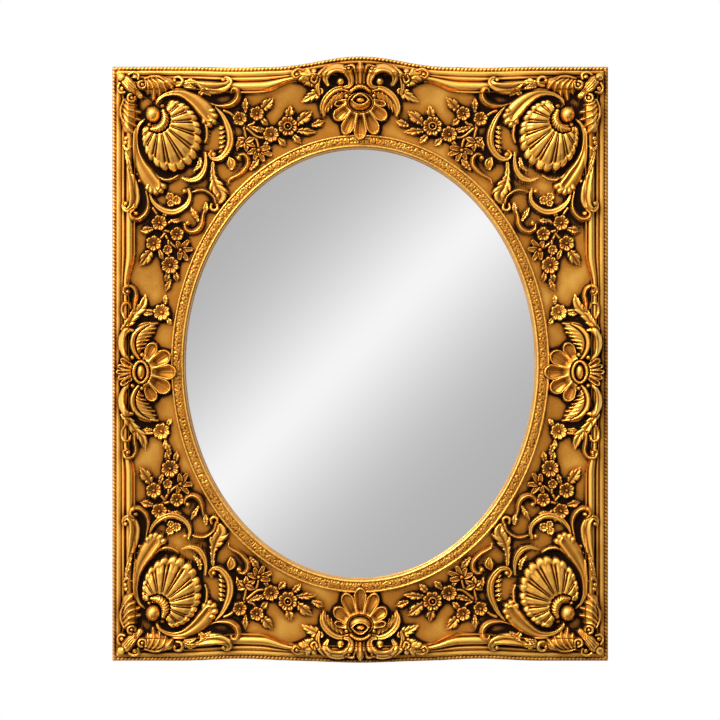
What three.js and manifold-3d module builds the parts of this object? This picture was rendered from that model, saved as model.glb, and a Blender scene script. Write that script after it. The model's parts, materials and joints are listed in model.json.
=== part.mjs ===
// Wall mirror in a carved gilt frame. Four moulded rails with swept edges surround a coved panel with an
// oval opening. A beaded ring holds the domed glass, and cast scrollwork is seated on the mouldings.
// Millimetres, +Z up, front towards -Y. The origin lies on the wall behind the middle of the oval.
// Inside the file everything is drawn as a relief: x to the right, y up and h out from the rails' back.
import * as THREE from 'three';
import { mergeVertices } from 'three/addons/utils/BufferGeometryUtils.js';
import Module from 'manifold-3d';

const wasm = await Module();
wasm.setup();

// Clearance between neighbours that touch on the real frame
const FIT = 0.3;

// Oval opening, and the widths of the frame beside, above and below it
const SIGHT_WIDTH = 411;
const SIGHT_HEIGHT = 504;
const SIDE_BORDER = 84.5;
const END_BORDER = 95.5;
const WIDTH = SIGHT_WIDTH + 2 * SIDE_BORDER;
const HEIGHT = SIGHT_HEIGHT + 2 * END_BORDER;

// Size that the carving is drawn for; it stretches with the frame, and its strokes swell with the mean of both
const DRAWN_WIDTH = 580;
const DRAWN_HEIGHT = 695;
const DRAWN_SIDE_BORDER = 84.5;
const DRAWN_END_BORDER = 95.5;
const STRETCH_X = WIDTH / DRAWN_WIDTH;
const STRETCH_Y = HEIGHT / DRAWN_HEIGHT;
const SIDE_STRETCH = SIDE_BORDER / DRAWN_SIDE_BORDER;
const END_STRETCH = END_BORDER / DRAWN_END_BORDER;
const SWELL = Math.sqrt(STRETCH_X * STRETCH_Y);

// Swept outer edges, as drawn: a bell in the middle of the top edge and a shallow belly at the bottom
const CREST_RISE = 12;
const CREST_REACH = 100;
const SHOULDER_DIP = 1.2;
const SHOULDER_AT = 145;
const SHOULDER_REACH = 60;
const BELLY_DROP = 2.3;
const BELLY_REACH = 85;
const WAIST_DIP = 2.3;
const WAIST_AT = 140;
const WAIST_REACH = 70;

// Widths of the moulding: at the corners, along the plain stretches and behind the middle ornaments
const CORNER_BAND = 28;
const END_BAND = 31;
const SIDE_BAND = 27.5;
const MIDDLE_BAND = 20.5;
const CORNER_REACH = [90, 150];
const END_NARROWS = [170, 210];
const SIDE_NARROWS = [215, 254];

// Rail section: an edge strip sits in the outer rebate, and the panel on the ledge at the back
const EDGE_WIDTH = 5;
const EDGE_SEAT = 20.5;
const EDGE_RISE = 4.5;
const FILLET_END = 10;
const FILLET_HEIGHT = 27;
const LEDGE_WIDTH = 10;
const LEDGE_HEIGHT = 8;
// Mouldings inside the fillet: share of the way across, and height
const MOULDINGS = [
  [0.03, 25.8], [0.17, 29], [0.32, 26.8], [0.55, 33.5], [0.78, 32], [0.86, 29.6], [0.94, 32], [1, 30],
];

// Coved panel between the rails and the ring
const COVE_TOP = 27.5;
const COVE_FLOOR = 23;
const PANEL_BACK = LEDGE_HEIGHT + FIT;

// Sight ring, measured out from the sight edge
const OVAL_STEPS = 48;
const RING_WIDTH = 15.5;
const RING_MARGIN = 1.5;
const COVE_FLAT = RING_WIDTH + RING_MARGIN;
const RING_CREST = 26.8;
const BEAD_WIDTH = 2;
const LIP_WIDTH = 2.4;
const LIP_EDGE = 1.6;
const NECK_INNER = 7;
const NECK_WALL = 5;

// Domed glass, packing and back board behind the lip of the ring
const GLASS_THICKNESS = 3;
const GLASS_DOME = 12;
const PACKING_THICKNESS = 2;
const PACKING_WIDTH = 5.5;
const BOARD_THICKNESS = 3;

// Turn buttons that hold the board
const BUTTON_COUNT = 6;
const BUTTON_PIVOT = 20;
const BUTTON_REACH = 22;
const BUTTON_HEEL = 7;
const BUTTON_TIP = 5;
const BUTTON_THICKNESS = 2.5;

// Wood screws
const SCREW_RADIUS = 1.7;
const SCREW_LENGTH = 12;
const SCREW_HEAD = 3.6;
const SCREW_HEAD_HEIGHT = 1.9;
const HOLE_CLEARANCE = 0.4;

// Hangers: a strap with a rolled eye, and the D-ring that swings in it
const HANGER_INSET = 18;
const HANGER_RISE = 150;
const STRAP_WIDTH = 12;
const STRAP_LENGTH = 42;
const STRAP_THICKNESS = 1.2;
const STRAP_HOLES = [-26, -37];
const WIRE_RADIUS = 1.5;
const DEE_HALF_WIDTH = 9;
const DEE_STRAIGHT = 8;

// Wall pads; their height sets how far the frame stands off the wall
const PAD_RADIUS = 7;
const PAD_INSET = 19;
const PAD_FROM_CORNER = 50;
const STANDOFF = 7;

// How far the underside of the carving starts below the surface before it is cut to it, and the largest
// bit in cubic millimetres that is dressed off after the cut
const ROOT_DEPTH = 5;
const CRUMB = 25;

// ---------- Finishes ----------
const finish = (color, roughness, metalness) => new THREE.MeshStandardMaterial({
  color, roughness, metalness, flatShading: true,
});
const GILT = finish(0xd69a42, 0.38, 0.85);
const DARK_GILT = finish(0xb4772a, 0.45, 0.85);
const SILVERED = finish(0xc9cccf, 0.04, 1);
const FELT = finish(0x2b2622, 0.95, 0);
const BOARD = finish(0x8a6a45, 0.85, 0);
const STEEL = finish(0x9a9a96, 0.35, 1);
const PAD = finish(0x3a3836, 0.9, 0);

// ---------- Solids ----------
function signedVolume(points, faces) {
  const [a, b, c] = [new THREE.Vector3(), new THREE.Vector3(), new THREE.Vector3()];
  let volume = 0;
  for (let i = 0; i < faces.length; i += 3) {
    a.fromArray(points, faces[i] * 3);
    b.fromArray(points, faces[i + 1] * 3);
    c.fromArray(points, faces[i + 2] * 3);
    volume += a.dot(b.cross(c)) / 6;
  }
  return volume;
}

/** Skin over equal rings of points. A closed loft joins the last ring to the first; an open one has flat ends
 * shaped like `ends`, the ring's own outline in a plane. */
function loft(rings, ends) {
  const count = rings[0].length;
  const spans = ends ? rings.length - 1 : rings.length;
  const faces = [];
  for (let i = 0; i < spans; i++) {
    const [here, next] = [i * count, ((i + 1) % rings.length) * count];
    for (let j = 0; j < count; j++) {
      const k = (j + 1) % count;
      faces.push(here + j, here + k, next + k, here + j, next + k, next + j);
    }
  }
  if (ends) {
    const outline = ends.map(([a, b]) => new THREE.Vector2(a, b));
    const wound = Math.sign(THREE.ShapeUtils.area(outline));
    const last = (rings.length - 1) * count;
    for (const corners of THREE.ShapeUtils.triangulateShape(outline, [])) {
      const turn = Math.sign(THREE.ShapeUtils.area(corners.map((i) => outline[i])));
      const [a, b, c] = turn === wound ? corners : [corners[0], corners[2], corners[1]];
      faces.push(a, c, b, last + a, last + b, last + c);
    }
  }
  const points = rings.flat(2);
  if (signedVolume(points, faces) < 0) {
    for (let i = 0; i < faces.length; i += 3) [faces[i + 1], faces[i + 2]] = [faces[i + 2], faces[i + 1]];
  }
  const geometry = new THREE.BufferGeometry();
  geometry.setAttribute('position', new THREE.Float32BufferAttribute(points, 3));
  geometry.setIndex(faces);
  return geometry;
}

function toSolid(geometry) {
  let shape = geometry.clone();
  shape.deleteAttribute('normal');
  shape.deleteAttribute('uv');
  shape = mergeVertices(shape, 1e-4);
  const vertProperties = new Float32Array(shape.getAttribute('position').array);
  const triVerts = new Uint32Array(shape.getIndex().array);
  return new wasm.Manifold(new wasm.Mesh({ numProp: 3, vertProperties, triVerts }));
}

function toGeometry(solid) {
  const { vertProperties, triVerts } = solid.getMesh();
  const geometry = new THREE.BufferGeometry();
  geometry.setAttribute('position', new THREE.BufferAttribute(vertProperties, 3));
  geometry.setIndex(new THREE.BufferAttribute(triVerts, 1));
  geometry.computeVertexNormals();
  return geometry;
}

const join = (solids) => solids.reduce((whole, next) => whole.add(next));
const cut = (solid, tools) => tools.reduce((rest, tool) => rest.subtract(tool), solid);

// ---------- Ground: the surface that the carving sits on ----------
const bell = (t) => (Math.abs(t) < 1 ? 0.5 + 0.5 * Math.cos(Math.PI * t) : 0);
const ramp = (value, [from, to]) => THREE.MathUtils.smoothstep(value, from, to);

function topEdge(x) {
  const drawn = Math.abs(x) / STRETCH_X;
  return HEIGHT / 2 + CREST_RISE * bell(drawn / CREST_REACH)
    - SHOULDER_DIP * bell((drawn - SHOULDER_AT) / SHOULDER_REACH);
}

function bottomEdge(x) {
  const drawn = Math.abs(x) / STRETCH_X;
  return -HEIGHT / 2 - BELLY_DROP * bell(drawn / BELLY_REACH)
    + WAIST_DIP * bell((drawn - WAIST_AT) / WAIST_REACH);
}

const swept = (drawn, plain, narrows) => CORNER_BAND + (plain - CORNER_BAND) * ramp(drawn, CORNER_REACH)
  + (MIDDLE_BAND - plain) * ramp(drawn, narrows);

// Each side of the frame: its length, its band width, and the point `along` it and `inward` from its edge.
// `stations` are the drawn distances from the corner where its section is set.
const END_STATIONS = [90, 145, 170, 210, 235, 262, 290];
const SIDE_STATIONS = [150, 215, 235, 254, 304];
const SIDES = {
  top: {
    length: WIDTH,
    stations: END_STATIONS.map((drawn) => drawn * STRETCH_X),
    band: (along) => swept((WIDTH / 2 - Math.abs(along)) / STRETCH_X, END_BAND, END_NARROWS),
    at: (along, inward) => [along, topEdge(along) - inward],
  },
  right: {
    length: HEIGHT,
    stations: SIDE_STATIONS.map((drawn) => drawn * STRETCH_Y),
    band: (along) => swept((HEIGHT / 2 - Math.abs(along)) / STRETCH_Y, SIDE_BAND, SIDE_NARROWS),
    at: (along, inward) => [WIDTH / 2 - inward, -along],
  },
  bottom: {
    length: WIDTH,
    stations: END_STATIONS.map((drawn) => drawn * STRETCH_X),
    band: (along) => swept((WIDTH / 2 - Math.abs(along)) / STRETCH_X, END_BAND, END_NARROWS),
    at: (along, inward) => [-along, bottomEdge(along) + inward],
  },
  left: {
    length: HEIGHT,
    stations: SIDE_STATIONS.map((drawn) => drawn * STRETCH_Y),
    band: (along) => swept((HEIGHT / 2 - Math.abs(along)) / STRETCH_Y, SIDE_BAND, SIDE_NARROWS),
    at: (along, inward) => [-WIDTH / 2 + inward, along],
  },
};

/** Distances along a side where its section is set, from one end to the other, without the mitres. */
function stationsOf(side) {
  const half = side.stations.map((fromCorner) => side.length / 2 - fromCorner);
  const mirrored = half.filter((along) => along > 0).reverse();
  return [...half.map((along) => -along), ...mirrored];
}

/** Point on the oval, `outward` mm outside the sight edge. */
function ovalPoint(angle, outward) {
  const [a, b] = [SIGHT_WIDTH / 2, SIGHT_HEIGHT / 2];
  const normal = new THREE.Vector2(Math.cos(angle) / a, Math.sin(angle) / b).normalize();
  return [a * Math.cos(angle) + outward * normal.x, b * Math.sin(angle) + outward * normal.y];
}

const ovalOutline = (outward) => Array.from({ length: OVAL_STEPS }, (_, i) => (
  ovalPoint((2 * Math.PI * i) / OVAL_STEPS, outward)));

/** How many mm a point lies outside the oval that is `outward` mm outside the sight edge. */
function beyondOval(x, y, outward) {
  const reach = Math.hypot(x, y);
  const ratio = Math.hypot(x / (SIGHT_WIDTH / 2 + outward), y / (SIGHT_HEIGHT / 2 + outward));
  return reach - reach / ratio;
}

/** Distance in from the nearest outer edge, and the width of the moulding there. */
function nearestSide(x, y) {
  const distances = [
    { inward: topEdge(x) - y, side: SIDES.top, along: x },
    { inward: y - bottomEdge(x), side: SIDES.bottom, along: x },
    { inward: WIDTH / 2 - Math.abs(x), side: SIDES.left, along: y },
  ].map(({ inward, side, along }) => ({ inward, band: side.band(along) }));
  return distances.reduce((best, next) => (next.inward - next.band < best.inward - best.band ? next : best));
}

/** Height of the cove between the moulding and the flat under the ring. */
function coveHeight(x, y) {
  const { inward, band } = nearestSide(x, y);
  const fromBand = Math.max(inward - band, 0);
  const fromFlat = Math.max(beyondOval(x, y, COVE_FLAT), 0);
  const share = fromBand / Math.max(fromBand + fromFlat, 1e-6);
  return COVE_FLOOR + (COVE_TOP - COVE_FLOOR) * (1 - share) ** 2;
}

/** Height of the ground under a point of the carving, without the fine grooves of the moulding. */
function groundHeight(x, y) {
  const { inward, band } = nearestSide(x, y);
  if (beyondOval(x, y, RING_WIDTH) < 0) return RING_CREST;
  if (inward >= band) return coveHeight(x, y);
  const [crestShare, crest] = CRESTS[2];
  if (inward < FILLET_END) return FILLET_HEIGHT;
  const share = (inward - FILLET_END) / (band - FILLET_END);
  return share < crestShare ? THREE.MathUtils.lerp(FILLET_HEIGHT, crest, share / crestShare)
    : THREE.MathUtils.lerp(crest, MOULDINGS.at(-1)[1], (share - crestShare) / (1 - crestShare));
}

// ---------- Rails, edge strips, panel and ring ----------
/** Skin along one side from mitre to mitre. `section` gives the outline [inward, height] for a band width. */
function alongSide(side, section, slack, straight = false) {
  const middle = straight ? [] : stationsOf(side);
  const mitre = section(CORNER_BAND);
  const end = (sign) => mitre.map(([inward, height]) => (
    [...side.at(sign * (side.length / 2 - inward - slack), inward), height]));
  const rings = middle.map((along) => section(side.band(along)).map(([inward, height]) => (
    [...side.at(along, inward), height])));
  return toSolid(loft([end(-1), ...rings, end(1)], mitre));
}

/** Rail outline, drawn in from its outer edge for a band width. */
const acrossBand = (band, share) => FILLET_END + share * (band - FILLET_END);
const railSection = (band) => [
  [0, 0],
  [0, EDGE_SEAT],
  [EDGE_WIDTH + FIT, EDGE_SEAT],
  [EDGE_WIDTH + FIT, FILLET_HEIGHT],
  [FILLET_END, FILLET_HEIGHT],
  ...MOULDINGS.map(([share, height]) => [acrossBand(band, share), height]),
  [band, LEDGE_HEIGHT],
  [band + LEDGE_WIDTH, LEDGE_HEIGHT],
  [band + LEDGE_WIDTH, 0],
];

/** Those of the points, from left to right, that a straight edge laid over them would touch. */
function crestsOf(points) {
  const crests = [];
  for (const point of points) {
    const turnsUp = () => {
      const [[ax, ay], [bx, by]] = crests.slice(-2);
      return (by - ay) * (point[0] - bx) <= (point[1] - by) * (bx - ax);
    };
    while (crests.length > 1 && turnsUp()) crests.pop();
    crests.push(point);
  }
  return crests;
}

/** Section of the bed of the carving: the crests of the rail's mouldings, raised by the clearance. */
const CRESTS = crestsOf([[0, FILLET_HEIGHT], ...MOULDINGS]);
const crestSection = (band) => [
  [0, 0],
  [0, FILLET_HEIGHT + FIT],
  ...CRESTS.map(([share, height]) => [acrossBand(band, share), height + FIT]),
  [band + FIT, CRESTS.at(-1)[1] + FIT],
  [band + FIT, 0],
];

const MITRE_SLACK = FIT / Math.SQRT2;
const rail = (side) => alongSide(side, railSection, MITRE_SLACK);

/** Half-round strip along the outer edge. */
function edgeStrip(side, straight) {
  const seat = EDGE_SEAT + FIT;
  const section = () => [
    [0, seat], [0, seat + EDGE_RISE * 0.55], [EDGE_WIDTH * 0.25, seat + EDGE_RISE * 0.95],
    [EDGE_WIDTH * 0.75, seat + EDGE_RISE * 0.95], [EDGE_WIDTH, seat + EDGE_RISE * 0.55], [EDGE_WIDTH, seat],
  ];
  return alongSide(side, section, MITRE_SLACK, straight);
}

/** Panel blank: coved from the rails down to a flat under the ring, before the oval is cut out. */
function panelBlank(lift) {
  const gap = lift ? -FIT : FIT;
  const outline = Object.values(SIDES).flatMap((side) => {
    const inset = CORNER_BAND + gap;
    const corner = side.at(-(side.length / 2 - inset), inset);
    return [corner, ...stationsOf(side).map((along) => side.at(along, side.band(along) + gap))];
  });
  const innerOval = ([x, y]) => {
    const ratio = Math.hypot(x / (SIGHT_WIDTH / 2 + NECK_INNER), y / (SIGHT_HEIGHT / 2 + NECK_INNER));
    return [x / ratio, y / ratio];
  };
  const flatEdge = ([x, y]) => {
    const ratio = Math.hypot(x / (SIGHT_WIDTH / 2 + COVE_FLAT), y / (SIGHT_HEIGHT / 2 + COVE_FLAT));
    return [x / ratio, y / ratio];
  };
  const rings = outline.map((outer) => {
    const [flat, inner] = [flatEdge(outer), innerOval(outer)];
    const between = (share) => outer.map((value, i) => THREE.MathUtils.lerp(value, flat[i], share));
    const face = lift ? [outer, between(0.5), flat, inner] : [outer, between(0.3), between(0.65), flat, inner];
    return [
      [...outer, PANEL_BACK],
      ...face.map(([x, y]) => [x, y, coveHeight(x, y) + lift]),
      [...inner, PANEL_BACK],
    ];
  });
  return toSolid(loft(rings));
}

/** Upright oval plug from one height to another. */
function ovalPlate(outward, from, to) {
  const shape = new THREE.Shape(ovalOutline(outward).map(([x, y]) => new THREE.Vector2(x, y)));
  const plate = new THREE.ExtrudeGeometry(shape, { depth: to - from, bevelEnabled: false });
  return toSolid(plate.translate(0, 0, from));
}

const roundHole = (x, y, from, to) => {
  const hole = new THREE.CylinderGeometry(SCREW_RADIUS + HOLE_CLEARANCE, SCREW_RADIUS + HOLE_CLEARANCE, to - from, 6);
  return toSolid(hole.rotateX(Math.PI / 2).translate(x, y, (from + to) / 2));
};

/** Band of the sight ring swept round the oval. */
function ovalSweep(section) {
  const loops = section.map(([outward, height]) => ovalOutline(outward).map(([x, y]) => [x, y, height]));
  const rings = Array.from({ length: OVAL_STEPS }, (_, i) => loops.map((loop) => loop[i]));
  return toSolid(loft(rings));
}

// Levels of what lies behind the lip, from the back
const BOARD_BACK = PANEL_BACK;
const PACKING_BACK = BOARD_BACK + BOARD_THICKNESS + FIT;
const GLASS_BACK = PACKING_BACK + PACKING_THICKNESS + FIT;
const GLASS_RIM = NECK_INNER - FIT;
const domeHeight = (share) => GLASS_DOME * (1 - share ** 2);
const SIGHT_SHARE = (SIGHT_WIDTH / 2) / (SIGHT_WIDTH / 2 + GLASS_RIM);
const LIP_UNDERSIDE = GLASS_BACK + GLASS_THICKNESS + domeHeight(SIGHT_SHARE) + FIT;
const FLANGE_SEAT = COVE_FLOOR + FIT;

/** Sight ring: two bead lines with a plain band between them, and a neck that holds the glass. */
function sightRing() {
  const groove = RING_CREST - 1.4;
  const outerBead = RING_WIDTH - BEAD_WIDTH / 2;
  const innerBead = LIP_WIDTH + BEAD_WIDTH / 2;
  return ovalSweep([
    [NECK_INNER + NECK_WALL, PANEL_BACK],
    [NECK_INNER + NECK_WALL, FLANGE_SEAT],
    [RING_WIDTH, FLANGE_SEAT],
    [RING_WIDTH, groove + 0.5],
    [outerBead, RING_CREST],
    [RING_WIDTH - BEAD_WIDTH, groove],
    [LIP_WIDTH + BEAD_WIDTH, groove],
    [innerBead, RING_CREST],
    [0, LIP_UNDERSIDE + LIP_EDGE],
    [0, LIP_UNDERSIDE],
    [NECK_INNER, LIP_UNDERSIDE],
    [NECK_INNER, PANEL_BACK],
  ]);
}

/** Domed mirror glass with a flat-ground rim. */
function domedGlass() {
  const shares = [1, 0.6];
  const rim = ovalOutline(GLASS_RIM);
  const face = (base) => shares.map((share) => (
    rim.map(([x, y]) => [x * share, y * share, base + domeHeight(share)])));
  const [back, front] = [face(GLASS_BACK), face(GLASS_BACK + GLASS_THICKNESS)];
  const levels = [...back.reverse(), ...front];
  const points = [...levels.flat(), [0, 0, GLASS_BACK + GLASS_DOME],
    [0, 0, GLASS_BACK + GLASS_THICKNESS + GLASS_DOME]];
  const [backApex, frontApex] = [points.length - 2, points.length - 1];
  const faces = [];
  for (let i = 0; i < OVAL_STEPS; i++) {
    const k = (i + 1) % OVAL_STEPS;
    for (let level = 0; level < levels.length - 1; level++) {
      const [low, high] = [level * OVAL_STEPS, (level + 1) * OVAL_STEPS];
      faces.push(low + i, low + k, high + k, low + i, high + k, high + i);
    }
    const top = (levels.length - 1) * OVAL_STEPS;
    faces.push(backApex, k, i, frontApex, top + i, top + k);
  }
  const geometry = new THREE.BufferGeometry();
  geometry.setAttribute('position', new THREE.Float32BufferAttribute(points.flat(), 3));
  geometry.setIndex(faces);
  return toSolid(geometry);
}

// ---------- Carving ----------

// Sections of a stroke, from one root over its crown to the other: share of the half width, share of the rise
const ROUND = [[-1.15, -0.8], [-0.6, 0.9], [0.6, 0.9], [1.15, -0.8]];
const RIDGED = [[-1.45, -0.8], [0, 1], [1.45, -0.8]];

/** Stroke through points on the ground. `widths` are its half widths at them and `rise` its height. */
function stroke(place, points, widths, rise, section = ROUND) {
  const line = points.map((point) => new THREE.Vector2(...place(point)));
  const broadest = Math.max(...widths);
  const rings = line.map((point, i) => {
    const before = line[Math.max(i - 1, 0)];
    const after = line[Math.min(i + 1, line.length - 1)];
    const across = new THREE.Vector2(before.y - after.y, after.x - before.x).normalize();
    const half = widths[i] * SWELL;
    const crown = rise * (0.4 + 0.6 * (widths[i] / broadest));
    const under = (share) => [point.x + across.x * half * share, point.y + across.y * half * share];
    const ground = Math.max(...[-1, 0, 1].map((share) => groundHeight(...under(share))));
    return section.map(([share, height]) => [...under(share), ground + height * crown]);
  });
  return toSolid(loft(rings, section));
}

/** Egg-shaped boss on the ground, with its radii across and up. */
function boss(place, centre, radii, rise) {
  const [x, y] = place(centre);
  const ball = new THREE.SphereGeometry(1, 8, 4).rotateX(Math.PI / 2);
  const lowered = groundHeight(x, y) + rise / 4;
  return toSolid(ball.scale(radii[0] * SWELL, radii[1] * SWELL, rise * 0.75).translate(x, y, lowered));
}

/** Flower with its petals round a raised eye. */
function flower(place, centre, radius, petals = 5, turn = 0.3) {
  const [x, y] = place(centre);
  const ground = groundHeight(x, y);
  const circle = (reach, notch, height) => Array.from({ length: petals * 2 }, (_, i) => {
    const angle = turn + (Math.PI * i) / petals;
    const out = reach * SWELL * (i % 2 ? notch : 1);
    return [x + out * Math.cos(angle), y + out * Math.sin(angle), ground + height];
  });
  const levels = [circle(radius, 0.74, -1.2), circle(radius * 0.62, 1, 3.4)];
  const points = [...levels.flat(), [x, y, ground + 2.4], [x, y, ground - ROOT_DEPTH]];
  const count = petals * 2;
  const faces = [];
  for (let i = 0; i < count; i++) {
    const k = (i + 1) % count;
    faces.push(i, k, count + k, i, count + k, count + i);
    faces.push(count + i, count + k, 2 * count, k, i, 2 * count + 1);
  }
  const geometry = new THREE.BufferGeometry();
  geometry.setAttribute('position', new THREE.Float32BufferAttribute(points.flat(), 3));
  geometry.setIndex(faces);
  return toSolid(geometry);
}

/** Small pointed leaf from its base to its tip. */
function leaflet(place, base, tip, width) {
  const middle = base.map((value, i) => (value + tip[i]) / 2);
  return stroke(place, [base, middle, tip], [width * 0.35, width * 0.55, 1], 3.4, RIDGED);
}

// Scallop shell of the corners, as drawn: hinge, middle of the oval fan, and its two radii
const SHELL_HINGE = [57, 67];
const SHELL_MIDDLE = [70.5, 82];
const SHELL_RADII = [34.5, 41];
const SHELL_RIBS = 11;
const SHELL_FROM = -1.14;
const SHELL_TO = 2.8;
const SHELL_RISE = 13;

/** Distance from the hinge to the rim of the shell along a direction. */
function shellReach(angle) {
  const direction = [Math.cos(angle), Math.sin(angle)];
  const start = SHELL_HINGE.map((value, i) => (value - SHELL_MIDDLE[i]) / SHELL_RADII[i]);
  const along = direction.map((value, i) => value / SHELL_RADII[i]);
  const a = along[0] ** 2 + along[1] ** 2;
  const b = 2 * (start[0] * along[0] + start[1] * along[1]);
  const c = start[0] ** 2 + start[1] ** 2 - 1;
  return (-b + Math.sqrt(b * b - 4 * a * c)) / (2 * a);
}

/** Fan of ribs that swells from the hinge and drops to a scalloped rim. */
function scallopShell(place) {
  const spans = SHELL_RIBS * 2;
  const profile = [[0.06, 0.75, 0], [0.5, 1, 0.1], [0.93, 0.62, 0.2], [1, -0.25, 0]];
  const rings = Array.from({ length: spans + 1 }, (_, i) => {
    const angle = THREE.MathUtils.lerp(SHELL_FROM, SHELL_TO, i / spans);
    const groove = i % 2 === 0;
    const reach = shellReach(angle) * (groove ? 0.93 : 1);
    const lay = (share, height) => {
      const [x, y] = place([SHELL_HINGE[0] + reach * share * Math.cos(angle),
        SHELL_HINGE[1] + reach * share * Math.sin(angle)]);
      return [x, y, groundHeight(x, y) + height];
    };
    return [
      ...profile.map(([share, height, depth]) => lay(share, SHELL_RISE * (height - (groove ? depth : 0)))),
      lay(0.06, -ROOT_DEPTH),
    ];
  });
  const outline = [...profile, [0.06, -0.5]];
  return toSolid(loft(rings, outline));
}

/** Corner ornament: shell, scrolls and leaves round it, drawn from the outer corner of the frame. */
const cornerCarving = (place) => [
  scallopShell(place),
  boss(place, [48.5, 56.5], [8, 9], 11),
  stroke(place, [[61, 52], [63.5, 65], [55, 74], [44, 72]], [4, 4.8, 4.8, 4], 9),
  stroke(place, [[50, 59], [60, 70]], [4, 5], 7, RIDGED),
  // Leaf that curls from the boss over the shell, and the one that runs down beside it
  stroke(place, [[56, 52], [53, 45], [57, 37], [70, 31.5], [84, 33], [97, 41], [109, 52], [117, 63]],
    [2.6, 1.6, 1.6, 2, 2.8, 4.8, 7.5, 5], 7),
  stroke(place, [[45, 61], [32, 68], [28, 84], [29.5, 102], [35, 116], [43, 130], [52, 143]],
    [2, 1.8, 2, 2.6, 4.2, 7, 6.5], 7),
  // Pair of scrolls that close the cartouche
  stroke(place, [[115, 47], [129, 57], [137, 74], [137.5, 92], [128, 106], [117, 105]], [2, 3.2, 4, 4, 3.2, 2.6], 6),
  stroke(place, [[46, 142], [49, 159], [62, 169.5], [78, 168], [90, 157], [87, 146]], [2.2, 3.4, 3.5, 3.4, 2.8, 2.6], 6),
  // Hooks towards the middle of each side
  stroke(place, [[112, 44], [128, 47], [141, 44], [147, 34], [141, 28]], [2.2, 3.2, 4, 3, 2], 5.5, RIDGED),
  stroke(place, [[41, 136], [42.5, 155], [39, 172], [29, 178], [23, 172]], [2, 2.8, 3.2, 2.8, 2], 5.5, RIDGED),
  // Almond leaves on the moulding
  stroke(place, [[98, 38], [105, 25], [124, 27], [135, 18]], [2, 5, 5.5, 2.2], 5, RIDGED),
  stroke(place, [[33, 113], [24, 127], [26.5, 150], [15, 165]], [2, 4.6, 5.2, 2.2], 5, RIDGED),
  // Palmette in the corner, and the frilled leaves that curl from it
  stroke(place, [[11, 12], [22, 24], [33, 36], [42, 48]], [5.5, 6, 3.5, 3], 7),
  stroke(place, [[20, 18], [30, 13], [38, 21], [47, 17], [57, 25], [62, 35]], [3, 4, 4, 3.6, 6, 3], 5, RIDGED),
  stroke(place, [[18, 22], [12, 28], [23, 38], [16, 48], [21, 64], [31, 74]], [3, 4, 4, 3.6, 6, 3.4], 5, RIDGED),
  // Crescent under the shell, and the scrolls that hang from the cartouche
  stroke(place, [[118, 104], [109, 114], [103, 128], [92, 134], [86, 150]], [2.4, 2.6, 3.5, 3.6, 2], 5, RIDGED),
  stroke(place, [[126, 106], [118, 120], [124, 141], [122, 160]], [2.4, 3.4, 6.5, 3], 5, RIDGED),
  stroke(place, [[88, 156], [106, 145], [119, 153], [117, 165], [106, 174], [103, 188], [92, 193.5], [86, 186]],
    [2, 2.4, 2.6, 2.8, 3, 3.5, 3.2, 2.8], 5, RIDGED),
  stroke(place, [[149, 105], [158, 109], [153, 122], [139, 131], [122, 134]], [3, 3, 3, 2.6, 2], 5, RIDGED),
];

/** Spray of flowers beside a corner along the top or bottom, drawn from the outer corner of the frame. */
const endSpray = (place) => [
  flower(place, [149.5, 61.5], 8.5),
  flower(place, [169.5, 57], 8.5),
  flower(place, [186, 79.5], 9.5),
  flower(place, [205.5, 70], 11.5),
  // Stem through the flowers, and its side shoot with a trumpet bloom
  stroke(place, [[150, 64], [160, 73], [186, 78], [206, 72]], [1.8, 2, 2, 2], 3, RIDGED),
  stroke(place, [[158, 71], [168, 84], [173, 106]], [2, 2, 6], 3.6, RIDGED),
  stroke(place, [[169, 57], [166, 65], [163, 73]], [2.4, 2.2, 2.2], 3.4, RIDGED),
  leaflet(place, [156, 70], [156, 98], 10),
  leaflet(place, [173, 56], [189, 38], 12),
  leaflet(place, [205, 66], [209, 46], 10),
  leaflet(place, [210, 71], [234, 54], 13),
  leaflet(place, [210, 74], [240, 78], 10),
];

/** Spray of flowers beside a corner along a side, drawn from the outer corner of the frame. */
const sideSpray = (place) => [
  flower(place, [55.5, 183.5], 9.5),
  flower(place, [49, 207], 9.5),
  flower(place, [68, 232.5], 10.5),
  flower(place, [77, 196], 8.5),
  stroke(place, [[57, 185], [66, 205], [86, 217]], [2, 2, 6], 3.6, RIDGED),
  stroke(place, [[50, 206], [76, 197]], [2, 2], 3, RIDGED),
  stroke(place, [[65, 202], [67, 230]], [2, 2.4], 3, RIDGED),
  leaflet(place, [54, 185], [35, 193], 10),
  leaflet(place, [50, 209], [33, 233], 12),
  leaflet(place, [67, 236], [62, 263], 8),
];

/** Petal of a fan round an ornament's middle, from near it to its tip. */
const fanPetal = (place, base, tip, width) => {
  const [waist, shoulder] = [0.35, 0.7].map((share) => base.map((value, i) => (
    THREE.MathUtils.lerp(value, tip[i], share))));
  return stroke(place, [base, waist, shoulder, tip], [width * 0.28, width * 0.42, width * 0.52, width * 0.2], 6,
    RIDGED);
};

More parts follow.
